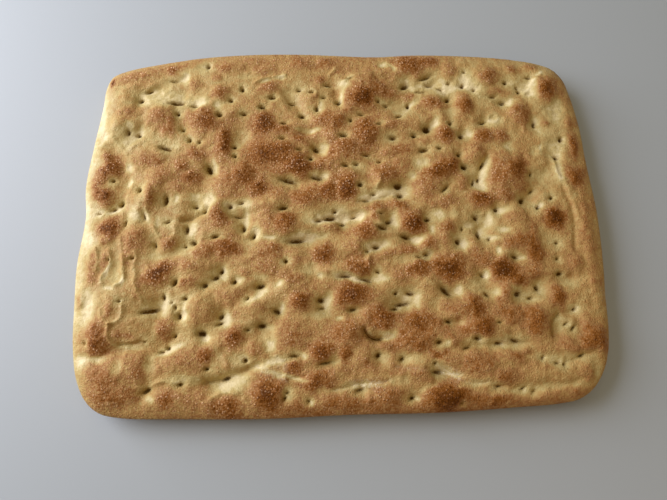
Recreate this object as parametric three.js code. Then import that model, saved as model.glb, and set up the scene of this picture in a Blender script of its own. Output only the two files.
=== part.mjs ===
// A whole focaccia, baked in an oblong tray and uncut: one solid of risen dough with a blistered
// top, finger dimples, a rounded rim and a flat underside.
// Units are millimetres and +Z is up. The origin is on the underside, below the bread's middle.

import * as THREE from 'three';

// ---- Driving sizes ----------------------------------------------------------------------------

const LENGTH = 399.5; // over all, left to right (X)
const WIDTH = 291.5; // over all, front to back (Y)
const VALLEY_HEIGHT = 20.5; // thickness in the valleys between the blisters
const GIRTH_HEIGHT = 14; // height of the widest line, where the rim turns down into the wall
const RIM_REACH = 17; // how far in from the edge the top is still rounding over

// Blisters: bubbles of dough that rise between the dimples.
const LEAST_RISE = 0.5; // rise of the smallest blister
const RISE_PER_WIDTH = 0.085; // further rise for each millimetre of a blister's narrower side
const FLANK_SPREAD = 1.35; // a blister's foot against its crown, which is what browns
const FLANK_POWER = 1.2; // higher is more pointed
const MERGE_POWER = 3; // how closely neighbouring blisters keep to the higher of the two

// Billows: the dough's broad risings and sinkings, under the blisters.
const BILLOW_GAIN = 1.6; // scale of their rises

// Facets.
const RIM_LINES = [0, 1.6, 5, 9.5, 14.5]; // grid lines over the rim, as distances from the edge
const CELLS_LONG = 76; // cells along the length, rim and middle together
const CELLS_WIDE = 56; // cells across the width
const EDGE_STEPS = 600; // steps that a side is measured in

// The wall from the widest line down to the foot: how far it has drawn in, and its height.
const WALL = [
  { inset: 0, height: GIRTH_HEIGHT },
  { inset: 0.5, height: 9.5 },
  { inset: 1.6, height: 5 },
  { inset: 3.2, height: 1.6 },
  { inset: 5, height: 0 },
];

// ---- The edge, from above ---------------------------------------------------------------------

// Where the edge changes its course, in four sides that start at the middle of each rounded corner.
// The back-left corner is tight; the other three are round. The edge, the blisters, the dimples and
// the creases share one plan; once the bread is made, it is moved so that its box is centred.
const SIDES = {
  front: [
    [-184, -126], [-174, -134.5], [-160, -138.5], [-120, -141.6], [-60, -143.4], [0, -142.6],
    [65, -143.2], [120, -141.3], [150, -139.8], [165, -137],
  ],
  right: [
    [176, -130], [184.7, -119], [190.2, -106], [193.7, -88], [195.2, -66], [198, -36], [199.6, 4],
    [197.6, 42], [196.6, 76], [192.9, 104],
  ],
  back: [
    [188.8, 119.4], [180.8, 129.8], [166.5, 136], [149, 139.6], [118, 143.2], [66, 145.5],
    [30, 144.3], [-24, 147.4], [-66, 148], [-106, 145.9], [-146, 139.9], [-172, 134.2],
  ],
  left: [
    [-184.8, 128], [-189.2, 118], [-190.8, 100], [-195.2, 66], [-198.6, 32], [-196.6, 6],
    [-199.8, -30], [-198.9, -62], [-196.8, -88], [-191.4, -112],
  ],
};

// ---- Relief -----------------------------------------------------------------------------------

// Billows: [x, y, length, width, turn in degrees, rise]. The higher ones come first in each part
// of the bread: back left, back, back right, front left, front, front right.
const BILLOWS = [
  [-175, 78, 16, 15, -30, 2.3], [-140, 97, 26, 20, 0, 1.5], [-172, 100, 16, 24, 0, 1.3],
  [-147, 22, 16, 28, -20, 2.8], [-108, 95, 15, 14, 0, 1.1], [-85, 92, 26, 11, 0, 1.6],
  [-95, 62, 16, 36, 10, 1.3], [-95, 12, 20, 16, 0, 1.7], [-168, 42, 12, 34, 15, -2.3],
  [-170, 17, 14, 12, 0, -2], [-108, 32, 16, 30, -10, -1.7], [-112, 13, 14, 12, 0, -1.6],
  [-80, 68, 22, 20, 0, -1.9], [-78, 5, 16, 11, 0, -2.2], [17, 108, 26, 20, -30, 1.9],
  [5, 92, 28, 14, 20, 1.5], [28, 72, 26, 15, 0, 2.4], [8, 62, 26, 16, 30, 1.4],
  [55, 127, 28, 9, 0, 1.6], [-33, 44, 20, 12, 10, 1.9], [-55, 12, 20, 13, 0, 2.2],
  [-25, 12, 20, 14, 0, 1.5], [10, 27, 20, 24, 0, 1.1], [-35, 98, 11, 26, 35, -2.7],
  [-47, 88, 30, 12, -30, -1.4], [-27, 74, 12, 11, 0, -2.6], [-18, 58, 11, 13, 0, -2.7],
  [-25, 55, 12, 14, 45, -1.8], [-35, 30, 28, 11, 0, -2.6], [48, 98, 24, 18, 0, -1.9],
  [57, 110, 10, 16, 0, -1.4], [20, 35, 10, 18, 0, -1.1], [27, 50, 18, 14, -30, -1.1],
  [48, 25, 15, 17, 0, -3], [3, 1, 32, 9, 0, -2], [117, 117, 22, 28, 0, 1.7],
  [165, 105, 22, 28, -15, 2.2], [175, 120, 24, 16, -30, 1.4], [144, 87, 14, 20, 0, 1.3],
  [103, 87, 16, 16, 0, 1.2], [77, 38, 28, 34, 0, 1.5], [130, 38, 22, 32, 20, 1.6],
  [70, 112, 26, 12, 0, -1.5], [90, 102, 11, 13, 30, -2.4], [73, 75, 13, 11, 0, -2.5],
  [100, 70, 10, 15, 20, -2.3], [118, 82, 11, 11, 0, -1.6], [95, 52, 9, 11, 0, -1.7],
  [109, 30, 13, 12, 0, -2.6], [146, 14, 15, 15, 20, -3], [155, 30, 18, 22, 0, -1.3],
  [120, 7, 9, 9, 0, -1.4], [65, 0, 10, 11, 0, -1.5], [-168, -62, 32, 38, 0, 3],
  [-175, -84, 24, 16, 0, 1.6], [-187, -106, 20, 22, 0, 1.3], [-160, -108, 34, 24, 0, 2],
  [-110, -35, 24, 22, 0, 1.5], [-108, -65, 24, 22, 0, 1.4], [-75, -80, 22, 11, 0, 1.2],
  [-120, -108, 36, 26, 0, 1.3], [-55, -129, 28, 18, 0, 1.2], [-137, -64, 11, 22, 20, -2.9],
  [-122, -72, 9, 11, 0, -2], [-103, -84, 13, 10, 0, -2.4], [-130, -90, 22, 12, 20, -2],
  [-118, -17, 18, 11, 40, -2.1], [-118, 0, 10, 15, 0, -1.8], [-92, -40, 14, 12, 50, -2.1],
  [-91, -70, 10, 13, 0, -1.6], [-95, -118, 28, 11, 10, -3], [-75, -3, 9, 15, -15, -2],
  [-45, -8, 32, 19, 0, 2.8], [-6, -41, 32, 10, -10, 2.2], [20, -62, 28, 12, -5, 2.4],
  [-34, -62, 20, 17, -30, 2], [-45, -52, 18, 10, 0, 1.4], [25, -5, 16, 18, 0, 2],
  [55, -1, 17, 12, 0, 1.3], [10, -18, 22, 15, 30, 1.1], [5, -85, 28, 10, -10, 2.1],
  [0, -96, 36, 14, 0, 1.1], [59, -50, 26, 10, -30, 1.7], [52, -112, 20, 14, -20, 1.2],
  [2, -5, 17, 14, 0, -2], [-28, -18, 24, 9, 20, -2.1], [52, -18, 15, 10, 0, -2.7],
  [27, -22, 16, 10, 30, -1.6], [20, -47, 14, 9, -30, -2.2], [45, -68, 24, 17, 20, -3],
  [-15, -64, 10, 16, 10, -2.4], [-50, -70, 11, 9, -40, -1.8], [-62, -82, 18, 11, 10, -2.3],
  [22, -105, 9, 9, 0, -1.2], [12, -127, 13, 11, 0, -1.6], [45, -132, 12, 11, 0, -1.6],
  [120, -32, 15, 12, 0, 1.4], [135, -22, 32, 32, 0, 1.1], [122, -57, 17, 14, 0, 1.6],
  [140, -82, 16, 24, -15, 1.6], [105, -87, 32, 12, -22, 2.2], [78, -17, 15, 14, 0, 1.1],
  [70, -135, 24, 12, 0, 2], [184, -100, 12, 18, 0, 1.3], [107, -10, 15, 22, 0, -3],
  [88, -20, 9, 9, 0, -1.9], [103, -48, 10, 42, 22, -1.9], [80, -80, 12, 9, 0, -2],
  [133, -64, 17, 12, 0, -1.7], [146, -56, 10, 12, 20, -1.7], [130, -35, 9, 9, 0, -1.2],
];

// Blister crowns: [x, y, length, width, turn in degrees]. Those along one row of the bread are
// listed together, from the back row to the front one, left to right.
const BLISTERS = [
  [-160, 125, 44, 9, 14], [-135, 132, 10, 8, 0], [-88, 134, 26, 9, 0], [-60, 130, 24, 9, 0],
  [-22, 135, 32, 9, 0], [60, 134, 26, 16, 0], [123, 121, 19, 16, 0], [150, 128, 26, 8, 0],
  [-56, 114, 15, 14, 0], [22, 106, 38, 32, 0], [78, 98, 18, 12, 0], [104, 94, 16, 22, 0],
  [169, 108, 17, 16, 0], [-156, 89, 36, 16, 0], [-109, 85, 30, 22, 0], [-60, 85, 16, 19, 0],
  [-8, 83, 25, 15, 0], [20, 73, 18, 28, 0], [146, 88, 13, 23, 0], [-92, 66, 9, 22, 0],
  [120, 67, 24, 12, 0], [86, 70, 11, 16, 0], [-183, 50, 16, 26, 0], [-140, 44, 36, 24, 0],
  [-116, 46, 16, 24, 0], [-55, 56, 40, 20, 0], [186, 60, 9, 26, 0], [-184, 28, 18, 22, 0],
  [-77, 33, 30, 26, 0], [-28, 21, 24, 20, 0], [-4, 26, 28, 20, 0], [38, 40, 32, 18, 8],
  [76, 37, 38, 22, 14], [130, 36, 34, 30, 0], [184, 29, 20, 22, 0], [65, 20, 26, 18, 0],
  [110, 14, 26, 15, 0], [-94, 4, 13, 14, 0], [-60, 8, 22, 20, 0], [-44, 0, 14, 16, 0],
  [-176, -3, 22, 16, -10], [-153, -13, 20, 16, 0], [-131, -16, 15, 12, 0], [-115, -5, 16, 12, 0],
  [15, -8, 19, 17, 0], [52, -4, 19, 18, 0], [133, -6, 16, 24, 0], [163, -3, 15, 16, 0],
  [187, -15, 16, 66, 0], [-92, -21, 24, 18, 0], [-15, -26, 16, 14, 0], [10, -30, 21, 24, 0],
  [78, -10, 16, 19, 0], [130, -22, 21, 14, 0], [145, -27, 12, 30, 0], [-140, -39, 34, 24, 12],
  [-58, -30, 24, 18, 0], [-38, -45, 26, 10, 0], [55, -38, 24, 16, 0], [77, -39, 24, 20, 0],
  [117, -42, 24, 18, 0], [-187, -36, 10, 20, 0], [-34, -62, 17, 15, 0], [2, -59, 26, 20, 0],
  [-107, -66, 18, 24, 0], [-72, -66, 30, 18, 0], [157, -61, 13, 18, 0], [84, -70, 30, 16, 0],
  [24, -76, 18, 16, 0], [50, -78, 20, 18, 0], [-177, -83, 18, 26, 0], [-152, -78, 22, 16, 0],
  [-81, -87, 18, 16, 0], [-42, -86, 30, 24, 0], [-131, -81, 16, 17, 30], [126, -78, 32, 20, 0],
  [45, -92, 30, 16, 0], [-12, -94, 28, 18, 0], [178, -93, 18, 20, 0], [158, -98, 16, 12, 0],
  [-148, -105, 20, 24, 0], [-112, -101, 32, 17, 8], [96, -109, 26, 18, 0], [-30, -116, 28, 18, 0],
  [-170, -117, 30, 32, 0], [-61, -123, 28, 26, -15], [-124, -128, 36, 22, 0],
  [-87, -133, 24, 15, 0], [-20, -135, 46, 11, 0], [25, -132, 24, 16, 0], [69, -132, 34, 20, 0],
  [104, -134, 34, 11, 0], [148, -124, 50, 16, 4],
];

// Dimples pressed in with the fingertips: [x, y, length, width, turn in degrees, depth].
const DIMPLES = [
  [-131, 99, 16, 9, 0, 1.8], [-78, 112, 9, 9, 0, 1.4], [-54, 104, 11, 8, 0, 1.4],
  [-20, 100, 12, 10, 0, 1.4], [56, 115, 14, 11, 0, 2.7], [75, 120, 14, 8, 20, 1.8],
  [108, 110, 9, 9, 0, 1.4], [-158, 73, 10, 9, 0, 1.4], [-80, 68, 11, 14, 0, 1.8],
  [70, 76, 10, 9, 0, 2.2], [97, 66, 9, 10, 0, 1.4], [155, 60, 12, 20, 0, 1.4],
  [-103, 44, 8, 10, -20, 2.2], [-136, 18, 9, 12, 0, 2.7], [-154, 8, 13, 14, 0, 2.2],
  [-112, 15, 20, 10, 0, 1.4], [-42, 33, 17, 8, -15, 2.2], [-20, 35, 12, 8, -10, 1.8],
  [44, 26, 13, 11, 0, 2.7], [22, 18, 26, 8, 8, 1.4], [104, 30, 10, 16, 0, 1.8],
  [80, 23, 12, 7, 40, 1.4], [140, 13, 10, 10, 45, 2.2], [-170, 14, 12, 9, 25, 1.8],
  [-82, 6, 14, 9, 0, 1.4], [-74, -8, 12, 11, 0, 2.2], [-10, 2, 24, 10, 4, 2.2],
  [65, -2, 11, 10, 0, 2.7], [31, -5, 14, 11, 0, 1.8], [103, -8, 9, 16, 0, 1.8],
  [-112, -16, 10, 9, 0, 1.8], [-35, -16, 20, 8, 5, 2.2], [23, -21, 16, 9, 0, 1.8],
  [47, -15, 13, 8, -12, 1.8], [87, -20, 11, 11, 0, 1.8], [129, -33, 12, 8, -15, 1.8],
  [-94, -42, 10, 11, 0, 2.2], [2, -46, 26, 7, -4, 1.8], [103, -46, 10, 8, -45, 1.8],
  [161, -47, 12, 9, 0, 2.2], [-142, -66, 22, 10, 8, 3.1], [-122, -68, 9, 12, 0, 1.8],
  [-18, -64, 10, 13, 0, 1.8], [41, -65, 24, 13, 0, 3.1], [74, -57, 16, 8, -35, 2.2],
  [127, -62, 14, 9, 0, 1.8], [152, -83, 9, 18, 0, 1.8], [-106, -84, 10, 9, 0, 2.2],
  [-62, -79, 12, 8, 0, 1.8], [17, -88, 16, 9, 0, 1.8], [120, -95, 28, 8, 0, 1.8],
  [94, -93, 12, 9, 0, 1.8], [-38, -102, 14, 7, 0, 1.8], [38, -105, 12, 9, 0, 1.8],
  [-45, -128, 9, 9, 0, 1.8], [63, -115, 16, 8, 0, 1.4],
];

// Creases: a run of points along each, with its width and depth.
const CREASES = [
  { run: [[-160, -90], [-130, -95], [-104, -87]], width: 9, depth: 1 },
  { run: [[-140, -119], [-100, -115], [-66, -107], [-44, -105]], width: 9, depth: 1.2 },
  { run: [[-60, -109], [-42, -118], [-22, -127], [6, -123], [32, -119], [48, -111]], width: 8, depth: 1 },
  { run: [[66, -113], [84, -122], [110, -127], [140, -129], [162, -124]], width: 8, depth: 1 },
  { run: [[172, 44], [176, 20], [177, -2], [175, -30]], width: 7, depth: 0.8 },
  { run: [[-170, -20], [-176, -38], [-180, -56], [-170, -74], [-164, -92]], width: 7, depth: 0.8 },
  { run: [[-164, 48], [-164, 20], [-158, -2]], width: 9, depth: 1 },
];

// ---- Functions --------------------------------------------------------------------------------

const edgePoints = Object.values(SIDES).flat().map(([x, y]) => new THREE.Vector3(x, y, 0));
const plan = planBox(edgePoints);
const edgeCurve = fittedEdge(edgePoints);

/** The middle and size of the smooth closed curve through the points. */
function planBox(points) {
  const loose = new THREE.CatmullRomCurve3(points, true, 'centripetal');
  const box = new THREE.Box3().setFromPoints(loose.getPoints(EDGE_STEPS * 4));
  return { middle: box.getCenter(new THREE.Vector3()), size: box.getSize(new THREE.Vector3()) };
}

/** The edge as a closed smooth curve, scaled about its middle so that it is LENGTH by WIDTH. */
function fittedEdge(points) {
  const scale = new THREE.Vector3(LENGTH / plan.size.x, WIDTH / plan.size.y, 1);
  const fitted = points.map((p) => p.clone().sub(plan.middle).multiply(scale).add(plan.middle));
  return new THREE.CatmullRomCurve3(fitted, true, 'centripetal');
}

/** Grid lines across a side of the given length: close over both rims, even between them. */
function gridFractions(length, cells) {
  const rim = RIM_LINES.map((d) => d / length);
  const lines = [...rim];
  const inner = cells - 2 * (rim.length - 1);
  const start = rim[rim.length - 1];
  for (let k = 1; k < inner; k++) lines.push(start + ((1 - 2 * start) * k) / inner);
  for (const f of [...rim].reverse()) lines.push(1 - f);
  return lines;
}

/** Points along the edge between two parameters, at the given fractions of the stretch's length. */
function stretch(from, to, fractions) {
  const fine = [];
  for (let k = 0; k <= EDGE_STEPS; k++) {
    const t = from + ((to - from) * k) / EDGE_STEPS;
    fine.push(edgeCurve.getPoint(t % 1));
  }
  const run = [0];
  for (let k = 1; k < fine.length; k++) run.push(run[k - 1] + fine[k].distanceTo(fine[k - 1]));
  const total = run[run.length - 1];
  let k = 0;
  return fractions.map((f) => {
    while (k < EDGE_STEPS - 1 && run[k + 1] < f * total) k++;
    const part = (f * total - run[k]) / (run[k + 1] - run[k]);
    return fine[k].clone().lerp(fine[k + 1], part);
  });
}

/** The four sides as rows of points, each running the way its grid coordinate grows. */
function sideRows() {
  const names = Object.keys(SIDES);
  const starts = [0];
  for (const name of names) starts.push(starts[starts.length - 1] + SIDES[name].length);
  const t = starts.map((n) => n / edgePoints.length);
  const along = gridFractions(LENGTH, CELLS_LONG);
  const across = gridFractions(WIDTH, CELLS_WIDE);
  return {
    front: stretch(t[0], t[1], along),
    right: stretch(t[1], t[2], across),
    back: stretch(t[2], t[3], along).reverse(),
    left: stretch(t[3], t[4], across).reverse(),
  };
}

/** A point of the patch spanned by four sides: both pairs blended, less the corners' own blend. */
function patchPoint(rows, i, j) {
  const u = i / CELLS_LONG;
  const v = j / CELLS_WIDE;
  const uu = rows.along[i];
  const vv = rows.across[j];
  const { front, back, left, right } = rows;
  const blend = (a, b, w) => a.clone().lerp(b, w);
  const p = blend(front[i], back[i], vv).add(blend(left[j], right[j], uu));
  const corners = blend(blend(front[0], front[CELLS_LONG], uu), blend(back[0], back[CELLS_LONG], uu), vv);
  if (u === 0) return left[j].clone();
  if (u === 1) return right[j].clone();
  if (v === 0) return front[i].clone();
  if (v === 1) return back[i].clone();
  return p.sub(corners);
}

/** How far (x, y) is from the middle of a turned ellipse, as a share of its half-width. */
function ellipseShare(x, y, [cx, cy, length, width, turn], spread = 1) {
  const a = THREE.MathUtils.degToRad(turn);
  const along = (x - cx) * Math.cos(a) + (y - cy) * Math.sin(a);
  const across = (y - cy) * Math.cos(a) - (x - cx) * Math.sin(a);
  return Math.hypot((2 * along) / (length * spread), (2 * across) / (width * spread));
}

/** Rise of all blisters together at (x, y): the higher one wins, with a soft fold between two. */
function blisterRise(x, y) {
  let sum = 0;
  for (const blister of BLISTERS) {
    const share = ellipseShare(x, y, blister, FLANK_SPREAD);
    if (share >= 1) continue;
    const rise = LEAST_RISE + RISE_PER_WIDTH * Math.min(blister[2], blister[3]);
    sum += (rise * (1 - share * share) ** FLANK_POWER) ** MERGE_POWER;
  }
  return sum ** (1 / MERGE_POWER);
}

/** Depth of the dimples at (x, y): round-bottomed cups, the deepest one counting. */
function dimpleDepth(x, y) {
  let depth = 0;
  for (const dimple of DIMPLES) {
    const share = ellipseShare(x, y, dimple);
    depth = Math.max(depth, dimple[5] * Math.exp(-1.4 * share * share));
  }
  return depth;
}

/** Distance from (x, y) to an open run of points. */
function runDistance(x, y, run) {
  let least = Infinity;
  for (let k = 1; k < run.length; k++) {
    const [ax, ay] = run[k - 1];
    const [bx, by] = run[k];
    const share = ((x - ax) * (bx - ax) + (y - ay) * (by - ay)) / ((bx - ax) ** 2 + (by - ay) ** 2);
    const t = THREE.MathUtils.clamp(share, 0, 1);
    least = Math.min(least, Math.hypot(x - ax - t * (bx - ax), y - ay - t * (by - ay)));
  }
  return least;
}

/** Depth of the creases at (x, y). */
function creaseDepth(x, y) {
  let depth = 0;
  for (const { run, width, depth: most } of CREASES) {
    const share = (2 * runDistance(x, y, run)) / width;
    depth = Math.max(depth, most * Math.exp(-share * share));
  }
  return depth;
}

/** Rise of all billows together at (x, y), less than 0 where they sink. */
function billow(x, y) {
  let height = 0;
  for (const row of BILLOWS) {
    const share = ellipseShare(x, y, row);
    if (share < 2.4) height += row[5] * Math.exp(-share * share);
  }
  return BILLOW_GAIN * height;
}

/** Height of the top at (x, y), a given distance in from the edge: the relief, brought down over
 * the rim on a quarter ellipse to the widest line. */
function topHeight(x, y, distance) {
  const relief = billow(x, y) + blisterRise(x, y) - dimpleDepth(x, y) - creaseDepth(x, y);
  const t = Math.min(distance / RIM_REACH, 1);
  const round = Math.sqrt(1 - (1 - t) ** 2);
  return GIRTH_HEIGHT + (VALLEY_HEIGHT + relief - GIRTH_HEIGHT) * round;
}

/** Two triangles of a cell whose corners a, b, c, d run anticlockwise. */
function addCell(index, a, b, c, d) {
  index.push(a, b, c, a, c, d);
}

/** The whole bread as one closed indexed geometry: the top grid, the wall's rings, the underside. */
function breadGeometry() {
  const rows = sideRows();
  rows.along = gridFractions(LENGTH, CELLS_LONG);
  rows.across = gridFractions(WIDTH, CELLS_WIDE);
  const ring = [
    ...rows.front.slice(0, -1),
    ...rows.right.slice(0, -1),
    ...[...rows.back].reverse().slice(0, -1),
    ...[...rows.left].reverse().slice(0, -1),
  ];
  const closedRing = [...ring, ring[0]].map((p) => [p.x, p.y]);
  const position = [];
  const index = [];
  const at = (i, j) => j * (CELLS_LONG + 1) + i;

  for (let j = 0; j <= CELLS_WIDE; j++) {
    for (let i = 0; i <= CELLS_LONG; i++) {
      const p = patchPoint(rows, i, j);
      const onEdge = i === 0 || j === 0 || i === CELLS_LONG || j === CELLS_WIDE;
      const distance = onEdge ? 0 : runDistance(p.x, p.y, closedRing);
      position.push(p.x, p.y, topHeight(p.x, p.y, distance));
      if (i < CELLS_LONG && j < CELLS_WIDE) {
        addCell(index, at(i, j), at(i + 1, j), at(i + 1, j + 1), at(i, j + 1));
      }
    }
  }

  let upper = [];
  for (let i = 0; i < CELLS_LONG; i++) upper.push(at(i, 0));
  for (let j = 0; j < CELLS_WIDE; j++) upper.push(at(CELLS_LONG, j));
  for (let i = CELLS_LONG; i > 0; i--) upper.push(at(i, CELLS_WIDE));
  for (let j = CELLS_WIDE; j > 0; j--) upper.push(at(0, j));

  for (const { inset, height } of WALL.slice(1)) {
    const lower = [];
    const draw = new THREE.Vector3(1 - (2 * inset) / LENGTH, 1 - (2 * inset) / WIDTH, 1);
    for (const p of ring) {
      const q = p.clone().sub(plan.middle).multiply(draw).add(plan.middle);
      lower.push(position.length / 3);
      position.push(q.x, q.y, height);
    }
    for (let k = 0; k < ring.length; k++) {
      const next = (k + 1) % ring.length;
      addCell(index, lower[k], lower[next], upper[next], upper[k]);
    }
    upper = lower;
  }

  const foot = upper.map((n) => new THREE.Vector2(position[3 * n], position[3 * n + 1]));
  for (const [a, b, c] of THREE.ShapeUtils.triangulateShape(foot, [])) {
    index.push(upper[a], upper[c], upper[b]);
  }

  const geometry = new THREE.BufferGeometry();
  geometry.setAttribute('position', new THREE.Float32BufferAttribute(position, 3));
  geometry.setIndex(index);
  geometry.translate(-plan.middle.x, -plan.middle.y, 0);
  geometry.computeVertexNormals();
  return geometry;
}

/** The bread, in its baked crust. */
function focaccia() {
  const crust = new THREE.MeshStandardMaterial({ color: '#a87a42', roughness: 0.62, metalness: 0 });
  const mesh = new THREE.Mesh(breadGeometry(), crust);
  mesh.name = 'focaccia';
  return mesh;
}

const bread = new THREE.Group();
bread.add(focaccia());

export default bread;
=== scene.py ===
"""A whole tray-baked focaccia: its blistered crust, finish and studio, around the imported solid.

Sizes are in millimetres on the bread, turned to metres where a mesh is made. The bread's rows of
blisters and dimples are in its own frame: +X right, +Y to the back, near the middle of the loaf.
"""

import logging
import math
from dataclasses import dataclass
from enum import Enum
from typing import Any, ClassVar

import bpy
import numpy as np
from mathutils import Matrix, Vector


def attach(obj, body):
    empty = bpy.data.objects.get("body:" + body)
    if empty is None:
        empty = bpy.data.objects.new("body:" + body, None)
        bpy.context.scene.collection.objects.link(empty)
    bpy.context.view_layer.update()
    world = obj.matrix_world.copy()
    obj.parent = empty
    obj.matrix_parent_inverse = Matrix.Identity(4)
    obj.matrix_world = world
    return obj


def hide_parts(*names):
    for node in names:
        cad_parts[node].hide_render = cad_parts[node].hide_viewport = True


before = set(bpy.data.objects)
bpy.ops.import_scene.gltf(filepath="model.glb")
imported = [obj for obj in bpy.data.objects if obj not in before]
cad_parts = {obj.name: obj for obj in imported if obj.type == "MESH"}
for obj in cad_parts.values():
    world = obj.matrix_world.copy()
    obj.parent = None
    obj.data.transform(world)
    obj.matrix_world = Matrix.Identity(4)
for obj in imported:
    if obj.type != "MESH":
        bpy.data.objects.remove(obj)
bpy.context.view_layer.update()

LOG = logging.getLogger("focaccia")
MM = 0.001  # one millimetre, in metres
VIEW_WIDTH = 667  # width of the camera's view, in pixels

Array = np.ndarray
Row = tuple[float, ...]
Rows = tuple[Row, ...]
Tree = bpy.types.NodeTree
Socket = bpy.types.NodeSocket
Sockets = dict[str, Socket]


class Tone(Enum):
    """How far a patch of crust has browned, from raw cream to nearly burnt."""

    CREAM = 0.0
    STRAW = 0.2
    GOLD = 0.42
    AMBER = 0.58
    CHESTNUT = 0.7
    RUSSET = 0.84
    UMBER = 1.0


# ---- The bread's plan -------------------------------------------------------------------------

# Where the edge changes its course, in four sides that start at the middle of each corner.
EDGE: dict[str, Rows] = {
    "front": (
        (-185.6, -127), (-175.4, -135.8), (-160, -139.6), (-120, -141.6), (-60, -143.4),
        (0, -142.6), (65, -143.2), (120, -141.3), (150, -139.8), (165, -137.0),
    ),
    "right": (
        (176, -130), (184.7, -119), (190.2, -106), (193.7, -88), (195.2, -66), (198.0, -36),
        (199.6, 4), (197.6, 42), (196.6, 76), (192.9, 104),
    ),
    "back": (
        (188.8, 119.4), (180.8, 129.8), (166.5, 136.0), (149, 139.6), (118, 143.2), (66, 145.5),
        (30, 144.3), (-24, 147.4), (-66, 148), (-106, 145.9), (-146, 139.9), (-172, 134.2),
    ),
    "left": (
        (-184.8, 128), (-189.2, 118), (-190.8, 100), (-195.2, 66), (-198.6, 32), (-196.6, 6),
        (-199.8, -30), (-198.9, -62), (-197.4, -88), (-192.9, -112),
    ),
}

# The rows below are ellipses, as (x, y, length, width), and one that lies askew ends with its turn
# in degrees. Where they raise or brown the dough, the amount stands before the turn.

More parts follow.
